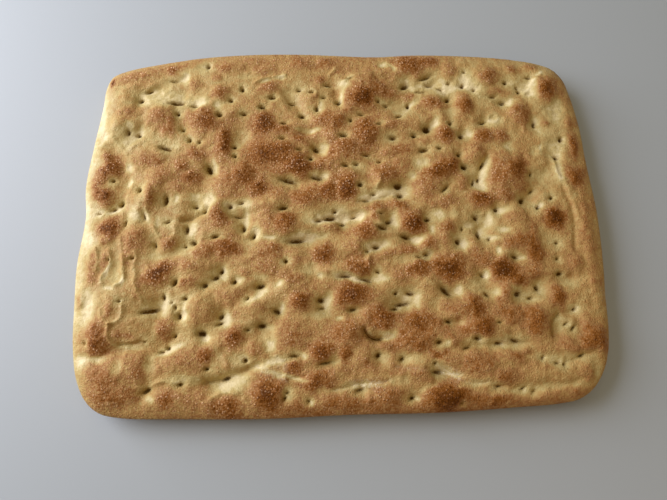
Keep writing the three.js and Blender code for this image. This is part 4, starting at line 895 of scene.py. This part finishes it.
@dataclass
class Loaf:
    """The bread: a grid over its top, rings down its wall and a coarser grid underneath.

    Attributes:
        dough: The shape of the top.
        cells_long: Grid cells along the length; a multiple of the underside's step.
        cells_wide: Grid cells across the width; a multiple of the underside's step.
        rim_cells: Cells over the rim, which lie closer together the nearer they are to the edge.
        step: Cells of the top to one cell of the underside.
        wall: The wall from the widest line to the foot, as (inset, height).
        foot_tone: How far the foot and the underside have browned.
        base_inset: How far the underside's grid stays in from the foot.
        burst_loss: How many fewer burst bubbles there are, as a share, a millimetre further to the
            right or to the front.
        least_burst: The least share of them, on the wall and the underside too.
        tray_reach: How far in from the edge the skin turns duller, as it is against a tray.
        pit_pull: How far the grid draws in towards the middle of a pit, as a share.
        fold_pull: How far it draws in towards a fold.
        widest_sharp_fold: The widest fold that it draws in towards.
    """

    dough: Dough
    cells_long: int = 316
    cells_wide: int = 264
    rim_cells: int = 13
    step: int = 4
    wall: Rows = (
        (0.12, 12.5), (0.35, 10.6), (0.8, 8.2), (1.5, 5.4), (2.5, 2.8), (3.6, 1.0), (5.0, 0.0)
    )
    foot_tone: float = 0.6
    base_inset: float = 2.5
    burst_loss: float = 0.0036
    least_burst: float = 0.15
    tray_reach: float = 4.0
    pit_pull: float = 0.6
    fold_pull: float = 0.45
    widest_sharp_fold: float = 3.4

    def fractions(self, length: float, cells: int) -> Array:
        """Grid lines over a side: r (1 - cos) from each edge over the rim, and even between."""
        turn = np.linspace(0, math.pi / 2, self.rim_cells + 1)
        rim = self.dough.rim_reach * (1 - np.cos(turn)) / length
        middle = np.linspace(rim[-1], 1 - rim[-1], cells - 2 * self.rim_cells + 1)
        return np.concatenate([rim[:-1], middle, 1 - rim[-2::-1]])

    def sides(self) -> dict[str, Array]:
        """The edge as four rows of points, each running the way its grid coordinate grows."""
        steps = 60
        corners = np.array([point for side in EDGE.values() for point in side], float)
        curve = spline(corners, steps, closed=True)
        size = np.ptp(curve, axis=0)
        along = self.fractions(size[0], self.cells_long)
        across = self.fractions(size[1], self.cells_wide)
        rows, start = {}, 0
        for name, points in EDGE.items():
            end = start + len(points) * steps
            part = np.take(curve, range(start, end + 1), axis=0, mode="wrap")
            run = np.concatenate([[0], np.cumsum(np.linalg.norm(np.diff(part, axis=0), axis=1))])
            at = (along if name in ("front", "back") else across) * run[-1]
            row = np.stack([np.interp(at, run, part[:, k]) for k in (0, 1)], 1)
            rows[name] = row if name in ("front", "right") else row[::-1]
            start = end
        return rows

    def plan(self) -> Array:
        """The top's grid in plan: both pairs of sides blended, less the corners' own blend."""
        rows = self.sides()
        size = (np.ptp(rows["front"][:, 0]), np.ptp(rows["right"][:, 1]))
        u = self.fractions(size[0], self.cells_long)[None, :, None]
        v = self.fractions(size[1], self.cells_wide)[:, None, None]
        front, back = rows["front"][None], rows["back"][None]
        left, right = rows["left"][:, None], rows["right"][:, None]
        corners = (1 - v) * ((1 - u) * front[:, :1] + u * front[:, -1:])
        corners = corners + v * ((1 - u) * back[:, :1] + u * back[:, -1:])
        return (1 - v) * front + v * back + (1 - u) * left + u * right - corners

    def gather(self, x: Array, y: Array, inward: Array) -> tuple[Array, Array]:
        """Draws the grid's inner points in towards pits and folds, so that its cells are smallest
        there: each moves a share exp(-share^2) of the pull towards the middle of a pit that it is
        near, and exp(-(d / 2.5)^2) of it towards a narrow fold at a distance d."""
        x, y = x.copy(), y.copy()
        free = np.clip(inward / 8, 0, 1)
        for row in PITS:
            found, share = near(x, y, grown(row, 4, 5), 2.4)
            pull = self.pit_pull * np.exp(-(share**2)) * free[found]
            x[found] += pull * (row[0] - x[found])
            y[found] += pull * (row[1] - y[found])
        for fold in FOLDS:
            if fold.width <= self.widest_sharp_fold:
                run = fold.curve()
                found = near_run(x, y, run, 6)
                way = run_offset(x[found], y[found], run)
                pull = self.fold_pull * np.exp(-((np.hypot(*way) / 2.5) ** 2)) * free[found]
                x[found] += pull * way[0]
                y[found] += pull * way[1]
        return x, y

    @staticmethod
    def rim(rows: int, columns: int) -> Array:
        """Indices of a grid's border, anticlockwise from its first point."""
        n = np.arange(rows * columns).reshape(rows, columns)
        return np.concatenate([n[0, :-1], n[:-1, -1], n[-1, :0:-1], n[:0:-1, 0]])

    @staticmethod
    def cells(n: Array) -> Array:
        """The four corners of each cell of a grid of indices, anticlockwise."""
        return np.stack([n[:-1, :-1], n[:-1, 1:], n[1:, 1:], n[1:, :-1]], -1).reshape(-1, 4)

    def build(self, name: str) -> bpy.types.Object:
        """Makes the bread's mesh, with its browning as attributes and an even map for baking.

        Args:
            name: Name of the new object.

        Returns:
            The object, at the origin, on the table plane.
        """
        plan = self.plan()
        rows, columns = plan.shape[:2]
        x, y = plan[..., 0].ravel(), plan[..., 1].ravel()
        border = self.rim(rows, columns)
        edge = np.stack([x[border], y[border]], 1)
        ring = np.vstack([edge, edge[:1]])[::2]
        x, y = self.gather(x, y, np.hypot(*run_offset(x, y, ring)))
        inward = np.hypot(*run_offset(x, y, ring))
        inward[border] = 0.0
        top = self.dough.top(x, y, inward)
        middle, half = (edge.min(0) + edge.max(0)) / 2, (edge.max(0) - edge.min(0)) / 2

        points = [np.stack([x, y, top["height"]], 1)]
        faces = [self.cells(np.arange(rows * columns).reshape(rows, columns))]
        upper, total = border, rows * columns
        for inset, height in self.wall:
            ring_xy = middle + (edge - middle) * (1 - inset / half)
            points.append(np.column_stack([ring_xy, np.full(len(edge), height)]))
            lower = total + np.arange(len(edge))
            faces.append(np.stack([lower, np.roll(lower, -1), np.roll(upper, -1), upper], 1))
            upper, total = lower, total + len(edge)

        base = self.underside(plan, middle, half)
        faces_under, fans = self.underside_faces(base.shape[:2], upper, total)
        points.append(np.pad(base.reshape(-1, 2), ((0, 0), (0, 1))))
        verts = np.vstack(points)
        verts[:, :2] -= middle
        mesh = self.to_mesh(name, verts * MM, np.vstack([*faces, faces_under]), fans)
        burst = np.clip(1.0 - self.burst_loss * (x - y), self.least_burst, 1.0)
        self.mark_crust(mesh, top, border, inward, burst)
        self.map_for_baking(mesh, verts, rows * columns)
        piece = bpy.data.objects.new(name, mesh)
        bpy.context.scene.collection.objects.link(piece)
        return piece

    def mark_crust(
        self,
        mesh: bpy.types.Mesh,
        top: dict[str, Array],
        border: Array,
        inward: Array,
        burst: Array,
    ) -> None:
        """Writes baking and painted shade into the mesh, one number a point for each attribute.

        Down the wall the rim's own tone turns into the foot's, by a power of the way down.

        Args:
            mesh: The bread's mesh: the top's points, then the wall's rings and the underside.
            top: The top's tone, painted shade of pits and grooves, and flour.
            border: The top's points along the rim.
            inward: How far in from the edge each of the top's points lies.
            burst: How thickly each has burst bubbles.
        """
        below = len(mesh.vertices) - len(inward)
        down = np.array([1 - height / self.dough.girth_height for _, height in self.wall])[:, None]
        rim_tone = top["tone"][border]
        wall_tone = (rim_tone + (self.foot_tone - rim_tone) * down**0.6).ravel()
        tone_below = np.concatenate([wall_tone, np.full(below - wall_tone.size, self.foot_tone)])
        for key, above, rest in (
            ("tone", top["tone"], tone_below),
            # The pit attribute is painted shade; there is none below the rim.
            ("pit", top["pit"], np.zeros(below)),
            ("flour", top["flour"], np.zeros(below)),
            ("burst", burst, np.full(below, self.least_burst)),
            ("tray", 0.5 * np.clip(1 - inward / self.tray_reach, 0, 1), np.ones(below)),
        ):
            layer = mesh.attributes.new(key, "FLOAT", "POINT")
            layer.data.foreach_set("value", np.concatenate([above, rest]).astype(np.float32))

    def underside(self, plan: Array, middle: Array, half: Array) -> Array:
        """The underside's grid: every few points of the top's, drawn in and kept off the foot."""
        inset = self.wall[-1][0] + self.base_inset
        return middle + (plan[:: self.step, :: self.step] - middle) * (1 - inset / half)

    def underside_faces(
        self, shape: tuple[int, ...], foot: Array, start: int
    ) -> tuple[Array, Array]:
        """Faces under the bread: the coarse grid, and fans from each of its border points to the
        foot ring's several points.

        Args:
            shape: Rows and columns of the coarse grid.
            foot: Indices of the foot ring, anticlockwise from above.
            start: Index of the grid's first point.

        Returns:
            The four-cornered faces and the three-cornered ones, facing down.
        """
        n = start + np.arange(shape[0] * shape[1]).reshape(shape)
        quads = self.cells(n)[:, ::-1]
        inner = start + self.rim(*shape)
        count = len(inner)
        k = np.arange(count * self.step)
        owner = ((k + self.step // 2) // self.step) % count
        fine = np.stack([foot[k], inner[owner], foot[(k + 1) % len(foot)]], 1)
        j = np.arange(count)
        turn = foot[(j * self.step + self.step // 2) % len(foot)]
        coarse = np.stack([turn, inner[j], inner[(j + 1) % count]], 1)
        return quads, np.vstack([fine, coarse])

    @staticmethod
    def to_mesh(name: str, verts: Array, quads: Array, triangles: Array) -> bpy.types.Mesh:
        """Puts points and faces into a smooth-shaded mesh."""
        mesh = bpy.data.meshes.new(name)
        loops = np.concatenate([quads.ravel(), triangles.ravel()])
        starts = np.concatenate(
            [np.arange(len(quads)) * 4, len(quads) * 4 + np.arange(len(triangles)) * 3]
        )
        mesh.vertices.add(len(verts))
        mesh.vertices.foreach_set("co", verts.astype(np.float32).ravel())
        mesh.loops.add(len(loops))
        mesh.loops.foreach_set("vertex_index", loops.astype(np.int32))
        mesh.polygons.add(len(starts))
        mesh.polygons.foreach_set("loop_start", starts.astype(np.int32))
        mesh.update(calc_edges=True)
        mesh.validate()
        mesh.shade_smooth()
        return mesh

    def map_for_baking(self, mesh: bpy.types.Mesh, verts: Array, top_count: int) -> None:
        """A map with the top laid flat over most of the square, and the wall and the underside
        below it. Each corner is mapped by its own face's part."""
        loop_vertex = np.empty(len(mesh.loops), np.int32)
        mesh.loops.foreach_get("vertex_index", loop_vertex)
        sizes = np.empty(len(mesh.polygons), np.int32)
        mesh.polygons.foreach_get("loop_total", sizes)
        normal = np.empty(len(mesh.polygons) * 3)
        mesh.polygons.foreach_get("normal", normal)
        face = np.repeat(np.arange(len(sizes)), sizes)
        first = np.concatenate([[0], np.cumsum(sizes)[:-1]])
        normal = normal.reshape(-1, 3)[face]
        co = verts[loop_vertex]
        lowest = np.minimum.reduceat(loop_vertex, first)
        highest_z = np.maximum.reduceat(co[:, 2], first)
        flat = 1e-6
        under = (highest_z <= flat)[face]
        below = highest_z <= self.dough.girth_height + flat
        on_wall = ((lowest >= top_count) | below)[face] & ~under

        # The top fills the square's lower part; the underside is the same at a third of the size.
        span = np.ptp(verts[:, 0])
        margin, under_scale, under_up = 0.01, 0.34, 0.735
        uv = margin + (1 - 2 * margin) * (co[:, :2] - verts[:, :2].min(0)) / span
        uv = np.where(under[:, None], margin + under_scale * (uv - margin) + [0, under_up], uv)
        # The wall's four sides are strips beside the underside, one above the other.
        sideways = abs(normal[:, 1]) > abs(normal[:, 0])
        facing = np.where(sideways, normal[:, 1], normal[:, 0])
        lane = np.where(sideways, 0, 2) + (facing >= 0)
        along = np.where(sideways, co[:, 0], co[:, 1]) / span + 0.5
        strip_left, strip_length = 0.36, 0.62
        lowest_strip, strip_gap, strip_scale = 0.745, 0.062, 0.0028
        up = lowest_strip + strip_gap * lane + strip_scale * co[:, 2]
        strip = np.stack([strip_left + strip_length * along, up], 1)
        uv = np.where(on_wall[:, None], strip, uv)
        layer = mesh.uv_layers.new(name="OFBake")
        layer.data.foreach_set("uv", uv.astype(np.float32).ravel())


# ---- Finishes ---------------------------------------------------------------------------------


def linear(colour: str) -> tuple[float, float, float, float]:
    """An sRGB hex colour as linear red, green, blue and alpha."""
    parts = [int(colour[k : k + 2], 16) / 255 for k in (1, 3, 5)]
    return (*(c / 12.92 if c <= 0.04045 else ((c + 0.055) / 1.055) ** 2.4 for c in parts), 1.0)


def add(
    tree: Tree,
    kind: str,
    settings: dict[str, Any] | None = None,
    inputs: dict[str | int, Any] | None = None,
) -> bpy.types.Node:
    """Adds a node to a material, with its settings and links.

    Args:
        tree: The material's node tree.
        kind: The node's type, without its common prefix.
        settings: Properties of the node.
        inputs: What its input sockets get: a value, or the socket that leads into it.

    Returns:
        The node.
    """
    node = tree.nodes.new("ShaderNode" + kind)
    for key, value in (settings or {}).items():
        setattr(node, key, value)
    for key, given in (inputs or {}).items():
        if isinstance(given, Socket):
            tree.links.new(given, node.inputs[key])
        else:
            node.inputs[key].default_value = given
    return node


# Settings of the steps of arithmetic, a b and a b + c, and of a mix of two colours.
TIMES = {"operation": "MULTIPLY"}
TIMES_PLUS = {"operation": "MULTIPLY_ADD"}
BLEND = {"data_type": "RGBA"}
# Input sockets of such a mix, and its output.
SHARE, FIRST, SECOND, BLENDED = 0, 6, 7, 2
# Input sockets of a range that is mapped to 0 to 1, or to other bounds.
VALUE, FROM_LOW, FROM_HIGH, TO_LOW, TO_HIGH = range(5)


@dataclass(frozen=True)
class BakedCrust:
    """Baked wheat crust, brushed with oil.

    To the eye it is a thin matt skin, cream where it was pressed down and reddish brown where it
    rose, with tiny burst bubbles on the dark crowns and a soft gleam of oil in the hollows. Shade
    is painted into its pits and grooves, and glints onto the pale rims of its bubbles.

    The colours from cream to umber are its own at each Tone.

    Attributes:
        pit: Colour of the painted shade on the way down into a pit, and in a groove.
        deep: Colour of the darker painted shade inside a pit's mouth.
        flour: Colour of the flour that lies in the folds.
        speck_and_glint: Colour of a burst bubble's paler rim, which is partly a painted glint.
        roughness: Roughness of the dry skin.
        oiled_roughness: Roughness where there is oil on it.
        ior: Its index of refraction.
        patterns: Its noises, each as (size of its lumps in millimetres, detail).
        bubble_gap: How far apart the burst bubbles lie, in millimetres.
        tooth_height: Height of the skin's fine tooth, in millimetres.
    """

    cream: str = "#e2d2a5"
    straw: str = "#c1ad73"
    gold: str = "#b28f57"
    amber: str = "#a17547"
    chestnut: str = "#905e2b"
    russet: str = "#784713"
    umber: str = "#5c3203"
    pit: str = "#7a5611"
    deep: str = "#5c3d08"
    flour: str = "#dccfae"
    speck_and_glint: str = "#f4c89e"
    roughness: float = 0.52
    oiled_roughness: float = 0.42
    ior: float = 1.46
    bubble_gap: float = 2.0
    tooth_height: float = 1.15
    patterns: ClassVar[dict[str, tuple[float, float]]] = {
        "blotch": (10.0, 3.0), "mottle": (3.2, 4.0), "freckle": (1.4, 2.0), "crowd": (35.0, 1.0),
        "ragged": (1.8, 2.0), "dusting": (2.0, 3.0), "tooth": (1.2, 2.0), "grit": (2.6, 3.0),
        "damp": (18.0, 3.0),
    }

    def material(self) -> bpy.types.Material:
        """Builds the crust's material.

        What varies over the crust is kept by name: the mesh's own attributes, noises whose lumps
        have real sizes, burst bubbles and the mouths of pits.
        """
        material = bpy.data.materials.new("baked wheat crust")
        material.use_nodes = True
        tree = material.node_tree
        tree.nodes.clear()
        place = add(tree, "TexCoord").outputs["Object"]
        over = {
            name: add(tree, "Attribute", {"attribute_name": name}).outputs["Fac"]
            for name in ("tone", "pit", "flour", "tray", "burst")
        }
        for name, (size, detail) in self.patterns.items():
            given = {"Vector": place, "Scale": 1 / (size * MM), "Detail": detail, "Roughness": 0.55}
            over[name] = add(tree, "TexNoise", inputs=given).outputs["Fac"]
        given = {0: over["freckle"], 1: 0.5}
        over["freckle"] = add(tree, "Math", {"operation": "SUBTRACT"}, given).outputs[0]
        over["bubble"] = self.bubbles(tree, place)

        # Pale bubble rims with painted glints, then painted shade in the pits and grooves.
        colour = self.speckled_with_glints(tree, over, self.browned(tree, over))
        colour, over["hole"] = self.with_pit_shade_and_flour(tree, over, colour)
        rough, gleam = self.oiled(tree, over)
        given = {
            "IOR": self.ior,
            "Base Color": colour,
            "Roughness": rough,
            "Specular IOR Level": gleam,
            "Normal": self.skin(tree, over),
        }
        shader = add(tree, "BsdfPrincipled", inputs=given)
        add(tree, "OutputMaterial", inputs={"Surface": shader.outputs["BSDF"]})
        return material

    def browned(self, tree: Tree, over: Sockets) -> Socket:
        """The crust's colour by its tone, which breaks up into blotches, mottles and freckles."""
        tone = over["tone"]
        uneven = add(tree, "Math", TIMES_PLUS, {0: over["blotch"], 1: 0.6, 2: -0.65}).outputs[0]
        uneven = add(tree, "Math", TIMES_PLUS, {0: over["mottle"], 1: 0.7, 2: uneven}).outputs[0]
        strong = add(tree, "Math", TIMES_PLUS, {0: tone, 1: 0.4, 2: 0.4}).outputs[0]
        brown = add(tree, "Math", TIMES_PLUS, {0: uneven, 1: strong, 2: tone}).outputs[0]
        strong = add(tree, "Math", TIMES_PLUS, {0: tone, 1: 1.2, 2: -0.06}).outputs[0]
        thick = add(tree, "Math", TIMES_PLUS, {0: over["burst"], 1: 0.5, 2: 0.5}).outputs[0]
        strong = add(tree, "Math", TIMES, {0: strong, 1: thick}).outputs[0]
        brown = add(tree, "Math", TIMES_PLUS, {0: over["freckle"], 1: strong, 2: brown}).outputs[0]

        ramp = add(tree, "ValToRGB", inputs={"Fac": brown})
        elements = ramp.color_ramp.elements
        for kind in Tone:
            if kind is Tone.CREAM:
                stop = elements[0]
            elif kind is Tone.UMBER:
                stop = elements[-1]
            else:
                stop = elements.new(kind.value)
            stop.position = kind.value
            stop.color = linear(getattr(self, kind.name.lower()))
        return ramp.outputs["Color"]

    def bubbles(self, tree: Tree, place: Socket) -> Socket:
        """Burst bubbles: round dots up to 1.2 mm across, each of its own strength."""
        given = {"Vector": place, "Scale": 1 / (self.bubble_gap * MM)}
        dots = add(tree, "TexVoronoi", inputs=given)
        given = {VALUE: dots.outputs["Distance"], FROM_LOW: 0.42, FROM_HIGH: 0.16}
        dot = add(tree, "MapRange", inputs=given).outputs[0]
        own = add(tree, "SeparateColor", inputs={0: dots.outputs["Color"]}).outputs[0]
        own = add(tree, "Math", {"operation": "POWER"}, {0: own, 1: 1.1}).outputs[0]
        return add(tree, "Math", TIMES, {0: dot, 1: own}).outputs[0]

    def speckled_with_glints(self, tree: Tree, over: Sockets, colour: Socket) -> Socket:
        """The colour with the pale rims of burst bubbles, partly painted glints, wherever the crust
        is brown, thicker in some places than in others and fewest to the front right."""
        given = {VALUE: over["tone"], FROM_LOW: 0.34, FROM_HIGH: 0.6}
        on_brown = add(tree, "MapRange", inputs=given).outputs[0]
        given = {VALUE: over["crowd"], FROM_LOW: 0.35, FROM_HIGH: 0.62, TO_LOW: 0.35}
        crowd = add(tree, "MapRange", inputs=given).outputs[0]
        speck_and_glint = add(tree, "Math", TIMES, {0: over["bubble"], 1: 0.95}).outputs[0]
        for share in (on_brown, crowd, over["burst"]):
            speck_and_glint = add(tree, "Math", TIMES, {0: speck_and_glint, 1: share}).outputs[0]
        # Each bubble's rim is paler and carries a painted glint.
        given = {SHARE: speck_and_glint, FIRST: colour, SECOND: linear(self.speck_and_glint)}
        return add(tree, "Mix", BLEND, given).outputs[BLENDED]

    def with_pit_shade_and_flour(self, tree: Tree, over: Sockets, colour: Socket) -> tuple[Socket, Socket]:
        """The colour with painted shade in its pits and grooves, which darkens softly towards a
        crisp, slightly ragged mouth, and with the flour in its folds; and how far inside a pit's
        mouth each place is."""
        given = {0: over["ragged"], 1: 0.5, 2: over["pit"]}
        ragged = add(tree, "Math", TIMES_PLUS, given).outputs[0]
        given = {VALUE: ragged, FROM_LOW: 0.45, FROM_HIGH: 1.15, TO_HIGH: 0.55}
        painted_pit_shade = add(tree, "MapRange", inputs=given).outputs[0]
        given = {VALUE: ragged, FROM_LOW: 0.8, FROM_HIGH: 1.05, TO_HIGH: 0.92}
        hole = add(tree, "MapRange", inputs=given).outputs[0]
        given = {VALUE: over["dusting"], FROM_LOW: 0.42, FROM_HIGH: 0.6}
        patchy = add(tree, "MapRange", inputs=given).outputs[0]
        dusted = add(tree, "Math", TIMES, {0: over["flour"], 1: patchy}).outputs[0]
        # The first two mixes are painted shade in the pits and grooves; the flour is its own
        # colour.
        for share, shade in ((painted_pit_shade, self.pit), (hole, self.deep), (dusted, self.flour)):
            given = {SHARE: share, FIRST: colour, SECOND: linear(shade)}
            colour = add(tree, "Mix", BLEND, given).outputs[BLENDED]
        return colour, hole

    def skin(self, tree: Tree, over: Sockets) -> Socket:
        """The skin's relief: bubbles on the brown crowns and a fine tooth all over, which is drawn
        a little coarser than it is, so that it shows."""
        tone = over["tone"]
        high = add(tree, "Math", TIMES, {0: tone, 1: 0.6}).outputs[0]
        lumps = add(tree, "Math", TIMES, {0: over["bubble"], 1: high}).outputs[0]
        strong = add(tree, "Math", TIMES_PLUS, {0: tone, 1: 0.7, 2: 0.25}).outputs[0]
        tooth = add(tree, "Math", TIMES_PLUS, {0: over["tooth"], 1: strong, 2: lumps}).outputs[0]
        height = add(tree, "Math", TIMES_PLUS, {0: over["grit"], 1: 0.4, 2: tooth}).outputs[0]
        given = {"Strength": 1.0, "Distance": self.tooth_height * MM, "Height": height}
        return add(tree, "Bump", inputs=given).outputs["Normal"]

    def oiled(self, tree: Tree, over: Sockets) -> tuple[Socket, Socket]:
        """Roughness and gleam, with oil in soft patches, mostly in the pale hollows. Against a
        tray the skin is duller, and inside a pit nothing gleams."""
        given = {VALUE: over["damp"], FROM_LOW: 0.45, FROM_HIGH: 0.62}
        damp = add(tree, "MapRange", inputs=given).outputs[0]
        given = {VALUE: over["tone"], FROM_LOW: 0.5, FROM_HIGH: 0.3}
        pale = add(tree, "MapRange", inputs=given).outputs[0]
        oil = add(tree, "Math", TIMES, {0: damp, 1: pale}).outputs[0]
        smoother = self.oiled_roughness - self.roughness
        rough = add(tree, "Math", TIMES_PLUS, {0: oil, 1: smoother, 2: self.roughness}).outputs[0]
        rough = add(tree, "Math", TIMES_PLUS, {0: over["tray"], 1: 0.08, 2: rough}).outputs[0]
        rough = add(tree, "Math", TIMES_PLUS, {0: over["freckle"], 1: 0.15, 2: rough}).outputs[0]
        gleam = add(tree, "Math", TIMES_PLUS, {0: oil, 1: 0.16, 2: 0.12}).outputs[0]
        clear = add(tree, "Math", TIMES_PLUS, {0: over["hole"], 1: -1.0, 2: 1.0}).outputs[0]
        return rough, add(tree, "Math", TIMES, {0: clear, 1: gleam}).outputs[0]


# ---- Studio -----------------------------------------------------------------------------------


@dataclass(frozen=True)
class Studio:
    """A plain pale floor, soft light from a window on the left, and the camera that looks down.

    Attributes:
        floor: Colour of the floor.
        floor_reach: How far the floor goes from the bread, in metres.
        air: Colour of the light from all round.
        air_strength: Its strength.
        camera_place: The camera's place from the bread's middle, in millimetres.
        camera_turn: Its turns about X, Y and Z from looking straight down, in degrees.
        focal_pixels: Its focal length, in pixels of its view.
        sensor: Width of its sensor, in millimetres.
        lamps: The lights, each as (place in metres, side in metres, power in watts, colour).
    """

    floor: str = "#a9b1b6"
    camera_place: Row = (-19.9, -120.2, 386.6)
    camera_turn: Row = (14.386, -1.405, -1.451)
    focal_pixels: float = 505.0
    sensor: float = 36.0
    floor_reach: float = 8.0
    air: str = "#dad5c6"
    air_strength: float = 0.27
    lamps: ClassVar[dict[str, tuple[Row, float, float, str]]] = {
        "window": ((-1.02, 0.38, 0.55), 1.0, 26.4, "#f1f1fc"),
        "overhead": ((-0.1, 0.7, 1.7), 1.5, 5.2, "#fde2ac"),
        "room": ((0.7, -0.9, 0.8), 1.2, 2.6, "#ffc470"),
    }

    def camera(self) -> None:
        """The camera: turned about Y, then X, then Z."""
        data = bpy.data.cameras.new("camera")
        data.sensor_width = self.sensor
        data.lens = self.focal_pixels / VIEW_WIDTH * self.sensor
        data.clip_start = 0.01
        camera = bpy.data.objects.new("camera", data)
        bpy.context.scene.collection.objects.link(camera)
        x, y, z = (math.radians(a) for a in self.camera_turn)
        turn = Matrix.Rotation(z, 4, "Z") @ Matrix.Rotation(x, 4, "X") @ Matrix.Rotation(y, 4, "Y")
        camera.matrix_world = Matrix.Translation(Vector(self.camera_place) * MM) @ turn
        bpy.context.scene.camera = camera

    def ground(self) -> None:
        """The floor: a wide plane with a plain, satin finish."""
        half = self.floor_reach
        mesh = bpy.data.meshes.new("floor")
        corners = [(-half, -half, 0), (half, -half, 0), (half, half, 0), (-half, half, 0)]
        mesh.from_pydata(corners, [], [(0, 1, 2, 3)])
        floor = bpy.data.objects.new("floor", mesh)
        bpy.context.scene.collection.objects.link(floor)
        material = bpy.data.materials.new("pale satin floor")
        material.use_nodes = True
        shader = material.node_tree.nodes["Principled BSDF"]
        shader.inputs["Base Color"].default_value = linear(self.floor)
        shader.inputs["Roughness"].default_value = 0.6
        mesh.materials.append(material)

    def lights(self) -> None:
        """The window, a soft panel overhead and a warm, dim room on the other side, each a square
        that faces the bread; and a little light from all round."""
        for name, (place, size, power, colour) in self.lamps.items():
            data = bpy.data.lights.new(name, "AREA")
            data.size = size
            data.energy = power
            data.color = linear(colour)[:3]
            lamp = bpy.data.objects.new(name, data)
            bpy.context.scene.collection.objects.link(lamp)
            facing = (-Vector(place)).to_track_quat("-Z", "Y")
            lamp.matrix_world = Matrix.Translation(place) @ facing.to_matrix().to_4x4()
        world = bpy.data.worlds.new("room")
        bpy.context.scene.world = world
        world.use_nodes = True
        background = world.node_tree.nodes["Background"]
        background.inputs["Color"].default_value = linear(self.air)
        background.inputs["Strength"].default_value = self.air_strength
        bpy.context.scene.view_settings.view_transform = "Standard"

    def build(self) -> None:
        """Sets up floor, lights and camera."""
        self.camera()
        self.ground()
        self.lights()


def main() -> None:
    """Builds the studio and the bread."""
    logging.basicConfig(level=logging.INFO, format="%(message)s")
    Studio().build()
    bread = Loaf(Dough()).build("focaccia_loaf")
    bread.data.materials.append(BakedCrust().material())
    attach(bread, "root")
    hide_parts("focaccia")
    mesh = bread.data
    LOG.info("%s: %d points, %d faces", bread.name, len(mesh.vertices), len(mesh.polygons))


if __name__ == "__main__":
    main()
